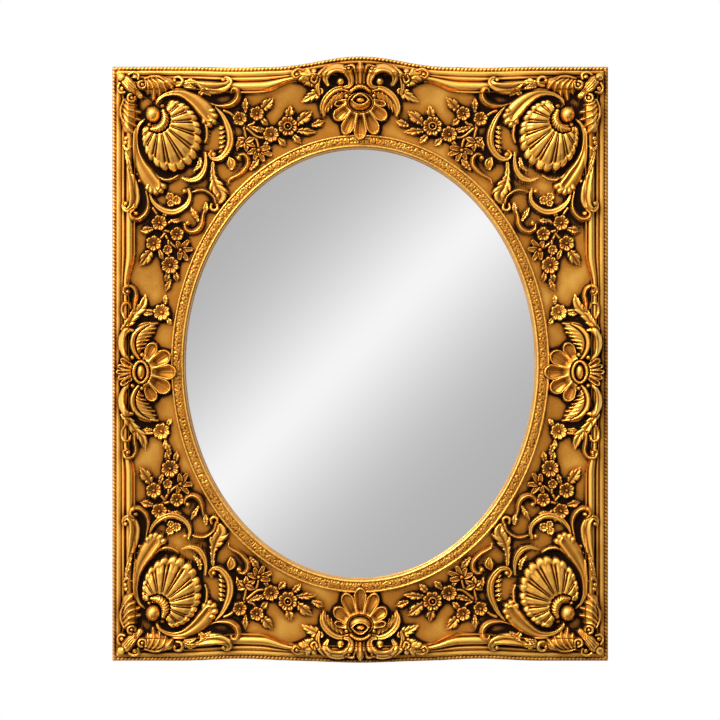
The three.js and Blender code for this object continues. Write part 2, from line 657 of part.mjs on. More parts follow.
/** Half of the ornament in the middle of a side; `flip` -1 gives the upper half. */
const sideHalf = (place, flip) => {
  const half = ([across, down]) => place([across, down * flip]);
  return [
    fanPetal(half, [6, 4.5], [33, 20], 12),
    fanPetal(half, [3, 8], [20, 33], 12),
    fanPetal(half, [-4, 1.5], [-28, 5], 6),
    fanPetal(half, [-3.5, 6], [-25, 17], 6),
    // Scroll on the moulding, feathered leaf, and the stem with its acanthus
    stroke(half, [[-3, 11], [-18, 19], [-22, 33], [-17, 47], [-7, 47]], [2, 2.6, 2.8, 2.6, 2], 5.5, RIDGED),
    stroke(half, [[0, 11], [-5, 24], [-5, 38], [5, 51], [19, 54]], [2.6, 3, 5.5, 6, 1.5], 5, RIDGED),
    stroke(half, [[-17, 46], [-14, 60], [-2, 76], [-8, 91], [-18, 98]], [2.4, 5, 6, 4, 2.4], 5, RIDGED),
    flower(half, [23.5, 69.5], 10),
    stroke(half, [[-6, 68], [23, 69]], [2.4, 2.4], 3, RIDGED),
  ];
};

/** Ornament in the middle of a side, drawn from its cabochon: towards the glass, then down. */
const sideCarving = (place) => [
  boss(place, [0, 0], [9, 12.5], 10),
  fanPetal(place, [6, 0], [40, 0], 12),
  ...sideHalf(place, 1),
  ...sideHalf(place, -1),
];

/** Half of the ornament in the middle of the top or bottom; `flip` -1 gives the left half. */
const endHalf = (place, flip) => {
  const half = ([across, down]) => place([across * flip, down]);
  return [
    fanPetal(half, [4.5, 7.5], [15, 39], 13),
    fanPetal(half, [8, 4.5], [28, 26], 13),
    stroke(half, [[3, -9], [6, -30], [17, -39]], [3, 4, 3], 6.5, RIDGED),
    // Scroll that rolls over the moulding, wing leaf, and the long arc with its end leaf
    stroke(half, [[24, -22], [38, -20], [38, -33], [24, -37], [12, -28], [8, -7]], [3.4, 2.8, 2.8, 2.8, 2.8, 3], 5.5,
      RIDGED),
    stroke(half, [[9, -4], [22, -12], [37, -5], [43, 16]], [3.4, 5.5, 6, 1.5], 5.5, RIDGED),
    stroke(half, [[22, -36], [37, -40], [50, -28], [52, -12], [64, -3]], [3, 3.4, 4, 4, 1.5], 5.5, RIDGED),
    stroke(half, [[49, -26], [64, -27], [75, -30]], [4, 7, 3.6], 5.5, RIDGED),
  ];
};

/** Ornament in the middle of the top or bottom, drawn from its bowl: across, then towards the glass. */
const endCarving = (place) => [
  boss(place, [0, 0], [14.5, 12], 12),
  fanPetal(place, [0, 8], [0, 45], 14),
  fanPetal(place, [0, -8], [0, -46], 9),
  ...endHalf(place, 1),
  ...endHalf(place, -1),
];

// Where each ornament is drawn from
const fromCorner = (right, top, drop = 0) => ([u, v]) => (
  [right * (WIDTH / 2 - u * STRETCH_X), top * (HEIGHT / 2 - (v - drop) * STRETCH_Y)]);
const SIDE_MIDDLE = [34.2, -9.6];
const fromSide = (right) => ([across, down]) => (
  [right * (WIDTH / 2 - (SIDE_MIDDLE[0] + across) * SIDE_STRETCH), (SIDE_MIDDLE[1] - down) * STRETCH_Y]);
const END_MIDDLE = 41;
// The bottom ornament is drawn in on its outer side, because no crest rises behind it
const BOTTOM_DRAW_IN = 0.8;
const fromEnd = (top) => ([across, down]) => {
  const reach = top < 0 && down < 0 ? down * BOTTOM_DRAW_IN : down;
  return [across * STRETCH_X, top * (HEIGHT / 2 - (END_MIDDLE + reach) * END_STRETCH)];
};
// The lower side sprays stand nearer their corner
const LOWER_SPRAY_SHIFT = 4;

/** Solid that the undersides of the carving are cut to: it lies on the crests of the rails, the panel and the
 * ring, and closes the joints between them. */
const bed = join([
  ...Object.values(SIDES).map((side) => alongSide(side, crestSection, -FIT)), panelBlank(FIT), ovalSweep([
    [RING_WIDTH + FIT, PANEL_BACK], [RING_WIDTH + FIT, RING_CREST - 0.9 + FIT], [RING_WIDTH - 1, RING_CREST + FIT],
    [LIP_WIDTH + 1, RING_CREST + FIT], [NECK_INNER, PANEL_BACK],
  ]),
]);

/** One casting from its strokes, cut to the bed and without the crumbs that the cut leaves. */
function seated(strokes) {
  const pieces = join(strokes).subtract(bed).decompose();
  return join(pieces.filter((piece) => piece.volume() > CRUMB));
}

// ---------- Hardware on the back ----------
/** Pan-head wood screw, head downwards in h, with its shank from 0 upwards. */
function screw() {
  const profile = [
    [0, -SCREW_HEAD_HEIGHT], [SCREW_HEAD * 0.7, -SCREW_HEAD_HEIGHT], [SCREW_HEAD, 0],
    [SCREW_RADIUS, 0], [SCREW_RADIUS, SCREW_LENGTH * 0.8], [0, SCREW_LENGTH],
  ];
  const turned = new THREE.LatheGeometry(profile.map(([r, h]) => new THREE.Vector2(r, h)), 6);
  return turned.rotateX(Math.PI / 2);
}

/** Turn button: round heel at the pivot, and a tapered finger that points along +x. */
function turnButton() {
  const lean = Math.asin((BUTTON_HEEL - BUTTON_TIP) / BUTTON_REACH);
  const shape = new THREE.Shape();
  shape.absarc(0, 0, BUTTON_HEEL, Math.PI / 2 - lean, -Math.PI / 2 + lean, false);
  shape.absarc(BUTTON_REACH, 0, BUTTON_TIP, -Math.PI / 2 + lean, Math.PI / 2 - lean, false);
  const hole = new THREE.Path();
  hole.absarc(0, 0, SCREW_RADIUS + FIT, 0, 2 * Math.PI, true);
  shape.holes.push(hole);
  return new THREE.ExtrudeGeometry(shape, { depth: BUTTON_THICKNESS, bevelEnabled: false, curveSegments: 4 });
}

// The eye rolls round the ring's bar, level with the middle of the strap
const EYE_INNER = WIRE_RADIUS + FIT;
const EYE_OUTER = EYE_INNER + STRAP_THICKNESS;
const EYE_DEPTH = FIT + EYE_OUTER;

/** Strap seen from its side and drawn across its width: a flat plate that rolls into an open eye. */
function hangerStrap() {
  const shape = new THREE.Shape();
  const [from, to] = [Math.PI / 2, -Math.PI * 1.1];
  shape.moveTo(-STRAP_LENGTH, EYE_OUTER);
  shape.lineTo(-STRAP_LENGTH, EYE_INNER);
  shape.lineTo(0, EYE_INNER);
  shape.absarc(0, 0, EYE_INNER, from, to, true);
  shape.absarc(0, 0, EYE_OUTER, to, from, false);
  const strap = new THREE.ExtrudeGeometry(shape, { depth: STRAP_WIDTH, bevelEnabled: false, curveSegments: 6 });
  // The drawing's x runs up the frame and its y towards the frame's back
  const stand = new THREE.Matrix4().makeBasis(
    new THREE.Vector3(0, 1, 0), new THREE.Vector3(0, 0, 1), new THREE.Vector3(1, 0, 0));
  strap.translate(0, 0, -STRAP_WIDTH / 2).applyMatrix4(stand);
  const holes = STRAP_HOLES.map((y) => roundHole(0, y, 0, EYE_OUTER + FIT));
  return cut(toSolid(strap), holes);
}

/** D-ring of round wire: a straight bar through the eye, and a bow that hangs below it. */
function deeRing() {
  const bow = Array.from({ length: 7 }, (_, i) => {
    const angle = -(Math.PI * i) / 6;
    return [DEE_HALF_WIDTH * Math.cos(angle), -DEE_STRAIGHT + DEE_HALF_WIDTH * Math.sin(angle)];
  });
  const corner = 2;
  const line = [
    [-DEE_HALF_WIDTH, -corner], [-DEE_HALF_WIDTH + corner, 0], [DEE_HALF_WIDTH - corner, 0],
    [DEE_HALF_WIDTH, -corner], ...bow,
  ];
  const sides = 6;
  const rings = line.map((point, i) => {
    const before = line[(i + line.length - 1) % line.length];
    const after = line[(i + 1) % line.length];
    const across = new THREE.Vector2(before[1] - after[1], after[0] - before[0]).normalize();
    return Array.from({ length: sides }, (_, j) => {
      const angle = (2 * Math.PI * (j + 0.5)) / sides;
      const out = WIRE_RADIUS * Math.cos(angle);
      return [point[0] + across.x * out, point[1] + across.y * out, WIRE_RADIUS * Math.sin(angle)];
    });
  });
  return toSolid(loft(rings));
}

/** Wall pad with an eased rim, from the wall up to the rail. */
function wallPad() {
  const tall = STANDOFF - FIT;
  const profile = [[0, 0], [PAD_RADIUS - 1, 0], [PAD_RADIUS, 1], [PAD_RADIUS, tall], [0, tall]];
  return new THREE.LatheGeometry(profile.map(([r, h]) => new THREE.Vector2(r, h)), 10).rotateX(Math.PI / 2);
}

// ---------- Assembly ----------
const mirror = new THREE.Group();
mirror.rotation.x = Math.PI / 2;
mirror.position.y = -STANDOFF;

function add(name, shape, material, place = [0, 0, 0], turn = 0) {
  const geometry = shape.isBufferGeometry ? shape : toGeometry(shape);
  const mesh = new THREE.Mesh(geometry, material);
  mesh.name = name;
  mesh.position.set(...place);
  mesh.rotation.z = turn;
  mirror.add(mesh);
}

// Places of what screws into the wood
const buttonAngles = Array.from({ length: BUTTON_COUNT }, (_, i) => ((i + 0.5) * 2 * Math.PI) / BUTTON_COUNT);
const buttons = buttonAngles.map((angle) => {
  const [x, y] = ovalPoint(angle, BUTTON_PIVOT);
  const [innerX, innerY] = ovalPoint(angle, 0);
  return { x, y, turn: Math.atan2(innerY - y, innerX - x) };
});
const hangers = { left: -(WIDTH / 2 - HANGER_INSET), right: WIDTH / 2 - HANGER_INSET };
const BUTTON_LEVEL = PANEL_BACK - FIT - BUTTON_THICKNESS;
const HOLE_DEPTH = SCREW_LENGTH + 1;

const strapHoles = (side) => (hangers[side] === undefined ? []
  : STRAP_HOLES.map((y) => roundHole(hangers[side], HANGER_RISE + y, -1, HOLE_DEPTH)));
for (const [name, side] of Object.entries(SIDES)) {
  add(`rail_${name}`, cut(rail(side), strapHoles(name)), GILT);
  add(`edge_strip_${name}`, edgeStrip(side, name === 'left' || name === 'right'), DARK_GILT);
}

const opening = ovalPlate(NECK_INNER + NECK_WALL + FIT, 0, RING_CREST + ROOT_DEPTH);
const buttonHoles = buttons.map(({ x, y }) => roundHole(x, y, PANEL_BACK - 1, BUTTON_LEVEL + HOLE_DEPTH));
add('spandrel_panel', cut(panelBlank(0), [opening, ...buttonHoles]), GILT);
add('sight_ring', sightRing(), GILT);
add('mirror_glass', domedGlass(), SILVERED);
add('packing_ring', ovalSweep([
  [GLASS_RIM - PACKING_WIDTH, PACKING_BACK], [GLASS_RIM, PACKING_BACK],
  [GLASS_RIM, PACKING_BACK + PACKING_THICKNESS], [GLASS_RIM - PACKING_WIDTH, PACKING_BACK + PACKING_THICKNESS],
]), FELT);
add('back_board', ovalPlate(GLASS_RIM, BOARD_BACK, BOARD_BACK + BOARD_THICKNESS), BOARD);

for (const [vertical, top] of [['top', 1], ['bottom', -1]]) {
  add(`ornament_${vertical}`, seated(endCarving(fromEnd(top))), GILT);
  for (const [horizontal, right] of [['left', -1], ['right', 1]]) {
    const place = fromCorner(right, top);
    const sidePlace = fromCorner(right, top, top < 0 ? LOWER_SPRAY_SHIFT : 0);
    add(`corner_${vertical}_${horizontal}`, seated(cornerCarving(place)), GILT);
    add(`spray_${vertical}_${horizontal}`, seated(endSpray(place)), DARK_GILT);
    add(`side_spray_${vertical}_${horizontal}`, seated(sideSpray(sidePlace)), DARK_GILT);
  }
}
for (const [horizontal, right] of [['left', -1], ['right', 1]]) {
  add(`ornament_${horizontal}`, seated(sideCarving(fromSide(right))), GILT);
}

buttons.forEach(({ x, y, turn }, i) => {
  add(`turn_button_${i + 1}`, turnButton(), STEEL, [x, y, BUTTON_LEVEL], turn);
  add(`button_screw_${i + 1}`, screw(), STEEL, [x, y, BUTTON_LEVEL - FIT]);
});
for (const [horizontal, x] of Object.entries(hangers)) {
  const pivot = [x, HANGER_RISE, -EYE_DEPTH];
  add(`hanger_strap_${horizontal}`, hangerStrap(), STEEL, pivot);
  add(`hanger_ring_${horizontal}`, deeRing(), STEEL, pivot);
  STRAP_HOLES.forEach((y, i) => {
    add(`strap_screw_${horizontal}_${i + 1}`, screw(), STEEL, [x, HANGER_RISE + y, -2 * FIT - STRAP_THICKNESS]);
  });
}
for (const [vertical, top] of [['top', 1], ['bottom', -1]]) {
  for (const [horizontal, right] of [['left', -1], ['right', 1]]) {
    const [x, y] = [right * (WIDTH / 2 - PAD_INSET), top * (HEIGHT / 2 - PAD_FROM_CORNER)];
    add(`wall_pad_${vertical}_${horizontal}`, wallPad(), PAD, [x, y, -STANDOFF]);
  }
}

export default mirror;
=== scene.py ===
"""Convex wall mirror in a carved and gilded frame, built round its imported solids.

Sizes inside are millimetres on the face of the frame: x to the right, y up and h out from the back of the
rails.
Carving is drawn on a fine grid, stroke by stroke, as heights above the ground it is seated on.
"""
import json
import logging
import math
from collections.abc import Callable, Sequence
from dataclasses import dataclass, field
from enum import Enum

import bmesh
import bpy
import numpy as np
from mathutils import Matrix, Vector


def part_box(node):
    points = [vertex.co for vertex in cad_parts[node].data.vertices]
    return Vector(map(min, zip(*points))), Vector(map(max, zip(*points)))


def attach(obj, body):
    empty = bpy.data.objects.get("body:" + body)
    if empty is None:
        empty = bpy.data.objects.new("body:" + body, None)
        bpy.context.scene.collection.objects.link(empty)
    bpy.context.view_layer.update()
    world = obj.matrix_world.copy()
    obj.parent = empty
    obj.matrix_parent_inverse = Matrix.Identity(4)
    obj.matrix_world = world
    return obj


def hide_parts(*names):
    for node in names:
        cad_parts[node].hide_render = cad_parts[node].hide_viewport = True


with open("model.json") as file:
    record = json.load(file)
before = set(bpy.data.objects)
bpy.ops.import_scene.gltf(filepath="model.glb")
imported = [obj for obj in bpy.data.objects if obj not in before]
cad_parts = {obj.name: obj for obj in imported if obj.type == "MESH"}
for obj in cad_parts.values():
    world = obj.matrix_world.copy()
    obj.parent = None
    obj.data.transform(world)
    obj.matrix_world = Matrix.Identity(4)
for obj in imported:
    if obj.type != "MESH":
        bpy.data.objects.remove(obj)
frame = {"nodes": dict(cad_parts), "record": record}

LOG = logging.getLogger("mirror")
MM = 0.001

Array = np.ndarray
Point = tuple[float, float]
Placer = Callable[[Array, Array], tuple[Array, Array]]
Place = tuple[float, float, float]
Colour = tuple[float, float, float]
Tree, Socket = bpy.types.NodeTree, bpy.types.NodeSocket
Materials = dict[str, bpy.types.Material]

# ---------------------------------------------------------------- ground

HALF_WIDTH, HALF_HEIGHT = 290.0, 347.5
SIGHT_X, SIGHT_Y = 205.5, 252.0
# Wall to the back of the rails
STANDOFF = 7.0
# Swells of the outer edges: rise, half width and distance from the middle
TOP_SWELLS = ((12.0, 100.0, 0.0), (-1.2, 60.0, 145.0))
BOTTOM_SWELLS = ((-2.3, 85.0, 0.0), (2.3, 70.0, 140.0))
# Widths of the moulding, and the stretches over which they change, from the corner on
CORNER_BAND, END_BAND, SIDE_BAND, MIDDLE_BAND = 28.0, 31.0, 27.5, 20.5
CORNER_CHANGE, END_CHANGE, SIDE_CHANGE = (90, 150), (170, 210), (215, 254)
FILLET_END, FILLET_HEIGHT = 10.0, 27.0
EDGE_SEAT, EDGE_WIDTH, EDGE_TOP = 20.5, 5.0, 25.3
PANEL_BACK, COVE_TOP, COVE_FLOOR, COVE_FLAT = 8.3, 27.5, 23.0, 17.0
RING_WIDTH, RING_CREST, RING_LEVEL, OPENING_LEVEL = 15.5, 26.8, 25.6, 18.0
# Where the coved panel begins under the ring, and the oval that distances round the ring are measured on
PANEL_START, RING_MEAN = 12.3, 229.0
# Middles of the ornaments: side boss and end bowl in from the edge, side boss below the centre line
SIDE_BOSS_IN, SIDE_BOSS_BELOW, END_BOWL_IN = 34.2, 9.6, 41.0
# The lower side sprays hang this much nearer the corners
LOWER_DROP = 7.5
# Relief from which a place counts as carved
CARVED_FROM = 0.25
# Rail mouldings inside the fillet: share of the way across, and height
MOULDING = np.array([
    (0.0, 26.9), (0.035, 25.7), (0.08, 26.9), (0.17, 29.0), (0.26, 28.4), (0.325, 26.7), (0.39, 29.6),
    (0.47, 32.5),
    (0.56, 33.5), (0.68, 33.4), (0.78, 31.9), (0.83, 29.9), (0.865, 29.1), (0.895, 30.6), (0.94, 32.0),
    (0.98, 31.5),
    (1.0, 30.2)])
CRESTS = np.array([(0.0, 27.0), (0.55, 33.5), (0.94, 32.0), (1.0, 30.0)])


def bell(t: Array) -> Array:
    """Smooth hump that is 1 at 0 and 0 from 1 outwards."""
    return np.where(np.abs(t) < 1, 0.5 + 0.5 * np.cos(np.pi * np.clip(t, -1, 1)), 0.0)


def ease(value: Array, low: float, high: float) -> Array:
    """Smooth step from 0 at low to 1 at high."""
    t = np.clip((value - low) / (high - low), 0, 1)
    return t * t * (3 - 2 * t)


def swept_edge(x: Array, level: float, swells: Sequence[tuple[float, float, float]]) -> Array:
    """Height of an outer edge with its swells.

    Args:
        x: Places to the right of the middle.
        level: Height of the plain edge.
        swells: Rise, half width and distance from the middle of each swell.

    Returns:
        Heights of the edge.
    """
    height = level
    for rise, half, place in swells:
        height = height + rise * bell((np.abs(x) - place) / half)
    return height


def top_edge(x: Array) -> Array:
    """Height of the upper outer edge over x."""
    return swept_edge(x, HALF_HEIGHT, TOP_SWELLS)


def bottom_edge(x: Array) -> Array:
    """Height of the lower outer edge over x."""
    return swept_edge(x, -HALF_HEIGHT, BOTTOM_SWELLS)


def band_width(drawn: Array, plain: float, narrows: Point) -> Array:
    """Width of a moulding along its side.

    Args:
        drawn: Distances from the corner.
        plain: Width between the corner and the middle.
        narrows: Distances from the corner between which it narrows to its middle width.

    Returns:
        Widths of the moulding.
    """
    widened = CORNER_BAND + (plain - CORNER_BAND) * ease(drawn, *CORNER_CHANGE)
    return widened + (MIDDLE_BAND - plain) * ease(drawn, *narrows)


def end_band(x: Array) -> Array:
    """Width of the top and bottom moulding over x."""
    return band_width(HALF_WIDTH - np.abs(x), END_BAND, END_CHANGE)


def side_band(y: Array) -> Array:
    """Width of the side moulding at y."""
    return band_width(HALF_HEIGHT - np.abs(y), SIDE_BAND, SIDE_CHANGE)


def beyond_oval(x: Array, y: Array, outward: float) -> Array:
    """How far places lie outside an oval round the opening.

    Args:
        x: Places to the right of the middle.
        y: Places above the middle.
        outward: How far the oval itself lies outside the sight edge.

    Returns:
        Distances along the ray from the middle, below 0 inside the oval.
    """
    reach = np.hypot(x, y)
    ratio = np.hypot(x / (SIGHT_X + outward), y / (SIGHT_Y + outward))
    return reach - reach / np.maximum(ratio, 1e-6)


def nearest_band(x: Array, y: Array) -> tuple[Array, Array]:
    """Distance in from the nearest outer edge, and the moulding's width there.

    Args:
        x: Places to the right of the middle.
        y: Places above the middle.

    Returns:
        Distances and widths.
    """
    ends, sides = end_band(x), side_band(y)
    inward = [top_edge(x) - y, y - bottom_edge(x), HALF_WIDTH - np.abs(x)]
    best, band = inward[0], ends
    for distance, width in ((inward[1], ends), (inward[2], sides)):
        closer = distance - width < best - band
        best, band = np.where(closer, distance, best), np.where(closer, width, band)
    return best, band


def cove_height(x: Array, y: Array) -> Array:
    """Height of the cove between the moulding and the flat under the ring.

    Args:
        x: Places to the right of the middle.
        y: Places above the middle.

    Returns:
        Heights out from the back of the rails.
    """
    inward, band = nearest_band(x, y)
    from_band = np.maximum(inward - band, 0)
    from_flat = np.maximum(beyond_oval(x, y, COVE_FLAT), 0)
    share = from_band / np.maximum(from_band + from_flat, 1e-6)
    return COVE_FLOOR + (COVE_TOP - COVE_FLOOR) * (1 - share) ** 2


def smooth_table(points: Array, count: int = 200) -> Array:
    """Dense table on a smooth curve.

    Args:
        points: Rows of (place, height) that the curve runs through.
        count: Number of rows to make.

    Returns:
        Rows of (place, height).
    """
    tangents = np.gradient(points[:, 1], points[:, 0])
    place = np.linspace(points[0, 0], points[-1, 0], count)
    k = np.clip(np.searchsorted(points[:, 0], place, "right") - 1, 0, len(points) - 2)
    span = points[k + 1, 0] - points[k, 0]
    t = (place - points[k, 0]) / span
    height = ((2 * t**3 - 3 * t**2 + 1) * points[k, 1] + (t**3 - 2 * t**2 + t) * span * tangents[k]
              + (3 * t**2 - 2 * t**3) * points[k + 1, 1] + (t**3 - t**2) * span * tangents[k + 1])
    return np.stack([place, height], axis=1)


MOULDED = smooth_table(MOULDING)


def ground_height(x: Array, y: Array, crests: bool) -> Array:
    """Height of the frame's face without carving.

    Args:
        x: Places to the right of the middle.
        y: Places above the middle.
        crests: True for the even bed that carving sits on, False for the grooved mouldings.

    Returns:
        Heights out from the back of the rails.
    """
    inward, band = nearest_band(x, y)
    share = np.clip((inward - FILLET_END) / (band - FILLET_END), 0, 1)
    table = CRESTS if crests else MOULDED
    rail = np.where(inward < FILLET_END, FILLET_HEIGHT, np.interp(share, table[:, 0], table[:, 1]))
    if not crests:
        rail = np.where(inward < EDGE_WIDTH, EDGE_TOP, rail)
    face = np.where(inward < band, rail, cove_height(x, y))
    outward = beyond_oval(x, y, 0)
    face = np.where(outward < RING_WIDTH, RING_CREST if crests else RING_LEVEL, face)
    return np.where(outward < 0, OPENING_LEVEL, face)


# ---------------------------------------------------------------- carving


class Section(Enum):
    """Cross section of a carved stroke."""

    ROUND = "round"
    CREASED = "creased"
    RIMMED = "rimmed"
    LEAF = "leaf"
    SPOON = "spoon"


# Trench cut round a form, how much fuller a stroke is than drawn, and the spacing and least width along it
TRENCH, FULLNESS, PATH_STEP, LEAST_HALF = 1.5, 1.16, 0.9, 0.35


def smooth_path(points: Sequence[Point], widths: Sequence[float]) -> tuple[Array, Array]:
    """Smooth line through places.

    Args:
        points: Places that it runs through.
        widths: Half widths, spread evenly along it.

    Returns:
        Evenly spaced points on the line, and the half widths there.
    """
    p = np.array(points, float)
    w = np.full(len(p), widths[0]) if len(widths) == 1 else np.interp(
        np.linspace(0, 1, len(p)), np.linspace(0, 1, len(widths)), widths)
    s = np.concatenate([[0], np.cumsum(np.hypot(*np.diff(p, axis=0).T))])
    m = np.gradient(p, s, axis=0)
    q = np.linspace(0, s[-1], max(3, int(s[-1] / PATH_STEP) + 1))
    k = np.clip(np.searchsorted(s, q, "right") - 1, 0, len(s) - 2)
    span = (s[k + 1] - s[k])[:, None]
    t = ((q - s[k]) / span[:, 0])[:, None]
    path = ((2 * t**3 - 3 * t**2 + 1) * p[k] + (t**3 - 2 * t**2 + t) * span * m[k]
            + (3 * t**2 - 2 * t**3) * p[k + 1] + (t**3 - t**2) * span * m[k + 1])
    return path, np.maximum(np.interp(q, s, w), LEAST_HALF)


def crown(section: Section, r: Array, a: Array) -> Array:
    """Share of the rise over a stroke.

    Args:
        section: Its cross section.
        r: Places across it, from -1 to 1.
        a: Their distance from its middle, from 0 to 1.

    Returns:
        Heights from 0 to 1.
    """
    edge = np.clip(1 - a**8, 0, 1) ** 0.5
    if section is Section.CREASED:
        return (0.5 * np.clip(1 - a**2, 0, 1) ** 0.6 + 0.5 * np.exp(-((a / 0.33) ** 2))) * edge
    if section is Section.RIMMED:
        return (0.72 * np.clip(1 - a**2, 0, 1) ** 0.5 + 0.3 * np.exp(-(((r - 0.6) / 0.2) ** 2))
                - 0.14 * np.exp(-(((r - 0.1) / 0.22) ** 2))) * edge
    if section is Section.LEAF:
        return (0.66 + 0.34 * a) * edge * (1 - 0.34 * np.exp(-((a / 0.13) ** 2)))
    if section is Section.SPOON:
        return (0.5 + 0.5 * np.exp(-(((a - 0.74) / 0.2) ** 2)) + 0.12 * np.exp(-((a / 0.15) ** 2))) * edge
    return np.clip(1 - a**2.2, 0, 1) ** 0.55


@dataclass
class Carving:
    """Relief drawn on a grid, as heights above the ground.

    Attributes:
        low: Lowest place across and down.
        high: Highest place across and down.
        pitch: Spacing of the grid.
    """

    low: Point
    high: Point
    pitch: float = 0.55
    height: Array = field(init=False)

    def __post_init__(self) -> None:
        """Lays out an empty grid."""
        self.across = np.arange(self.low[0], self.high[0] + self.pitch, self.pitch)
        self.down = np.arange(self.low[1], self.high[1] + self.pitch, self.pitch)
        self.height = np.zeros((len(self.down), len(self.across)))

    def _window(self, low: Array, high: Array) -> tuple[slice, slice]:
        """Rows and columns of the grid inside a box.

        Args:
            low: Its lowest place across and down.
            high: Its highest place across and down.

        Returns:
            Slices of the rows and of the columns.
        """
        c0, r0 = (np.floor((low - np.array(self.low)) / self.pitch)).astype(int)
        c1, r1 = (np.ceil((high - np.array(self.low)) / self.pitch)).astype(int) + 1
        return slice(max(r0, 0), max(r1, 0)), slice(max(c0, 0), max(c1, 0))

    def _merge(self, spot: tuple[slice, slice], height: Array, outside: Array, peak: Array,
               blend: bool = False) -> None:
        """Lays a form over what is there, with a narrow trench round it where it stands higher.

        Args:
            spot: Rows and columns that it covers.
            height: Its heights.
            outside: Distance from its edge, below 0 inside it.
            peak: Its height on top.
            blend: True to grow out of what is there, with no trench.
        """
        old = self.height[spot]
        if blend:
            self.height[spot] = np.where(outside <= 0, np.maximum(old, height), old)
            return
        over = peak > 0.7 * old
        gap = np.clip(outside / TRENCH, 0, 1)
        trenched = np.where(over & (outside > 0), old * (1 - 0.8 * (1 - gap) ** 2), old)
        under = np.where(over, old * 0.55, old)
        self.height[spot] = np.where(outside <= 0, np.maximum(under, height), trenched)

    def stroke(self, points: Sequence[Point], widths: Sequence[float], rise: float,
               section: Section = Section.ROUND,
               side: int = 1, lobes: int = 0, notch: float = 0.4, flutes: int = 0,
               blend: bool = False) -> None:
        """Carves a stroke of changing width along a smooth line.

        Args:
            points: Places that its middle runs through.
            widths: Half widths along it.
            rise: Height where it is broadest.
            section: Its cross section.
            side: 1 or -1, the side of a raised rim.
            lobes: Number of lobes along its edge.
            notch: Depth of the notches between lobes.
            flutes: Number of grooves along it.
            blend: True to grow out of what is there, with no trench round it.
        """
        path, half = smooth_path(points, [w * FULLNESS for w in widths])
        reach = half.max() + TRENCH + self.pitch
        rows, cols = self._window(path.min(0) - reach, path.max(0) + reach)
        shape = (len(self.down[rows]), len(self.across[cols]))
        if 0 in shape:
            return
        ratio, along = np.full(shape, 99.0), np.zeros(shape)
        left, width = np.ones(shape), np.full(shape, half[0])
        count = len(path) - 1
        for k in range(count):
            a, step = path[k], path[k + 1] - path[k]
            near = max(half[k], half[k + 1]) + TRENCH + self.pitch
            r, c = self._window(np.minimum(a, path[k + 1]) - near, np.maximum(a, path[k + 1]) + near)
            dx, dy = self.across[c][None, :] - a[0], self.down[r][:, None] - a[1]
            tau = np.clip((dx * step[0] + dy * step[1]) / (step @ step), 0, 1)
            w = half[k] + tau * (half[k + 1] - half[k])
            q = np.hypot(dx - tau * step[0], dy - tau * step[1]) / w
            spot = (slice(r.start - rows.start, r.start - rows.start + q.shape[0]),
                    slice(c.start - cols.start, c.start - cols.start + q.shape[1]))
            closer = q < ratio[spot]
            ratio[spot] = np.where(closer, q, ratio[spot])
            along[spot] = np.where(closer, (k + tau) / count, along[spot])
            left[spot] = np.where(closer, np.sign(step[0] * dy - step[1] * dx), left[spot])
            width[spot] = np.where(closer, w, width[spot])
        depth = 0.5
        if lobes and section is Section.LEAF:
            tooth = np.mod(lobes * (along - 0.16 * np.minimum(ratio, 1.2)), 1.0)
            wave, depth = np.minimum(tooth / 0.8, (1 - tooth) / 0.2), 0.34
            ratio = ratio / (1 - notch * (1 - wave))
        elif lobes:
            wave = np.abs(np.sin(np.pi * lobes * (along - 0.1 * np.minimum(ratio, 1))))
            ratio = ratio / (1 - notch * (1 - wave) ** 1.5)
        r = ratio * left * side
        height = crown(section, r, ratio)
        if lobes:
            height = height * (1 - depth * (1 - wave) ** 3 * np.clip(ratio * 1.3, 0, 1))
        if flutes:
            height = height * (1 - 0.3 * np.abs(np.sin(np.pi * flutes * (r + 1) / 2)) ** 6)
        top = rise * (0.45 + 0.55 * width / half.max())
        self._merge((rows, cols), top * height, (ratio - 1) * width, top, blend)

    def round_form(self, centre: Point, radii: Point, rise: float, turn: float = 0.0) -> None:
        """Carves a ball or an egg.

        Args:
            centre: Its middle.
            radii: Its half length and half width.
            rise: Its height.
            turn: How far its length is turned.
        """
        spot = self._window(np.array(centre) - max(radii) - TRENCH, np.array(centre) + max(radii) + TRENCH)
        dx, dy = self.across[spot[1]][None, :] - centre[0], self.down[spot[0]][:, None] - centre[1]
        a = (dx * math.cos(turn) + dy * math.sin(turn)) / radii[0]
        b = (dy * math.cos(turn) - dx * math.sin(turn)) / radii[1]
        ratio = np.hypot(a, b)
        height = rise * np.clip(1 - ratio**2, 0, 1) ** 0.5
        self._merge(spot, height, (ratio - 1) * min(radii), np.full(ratio.shape, rise))

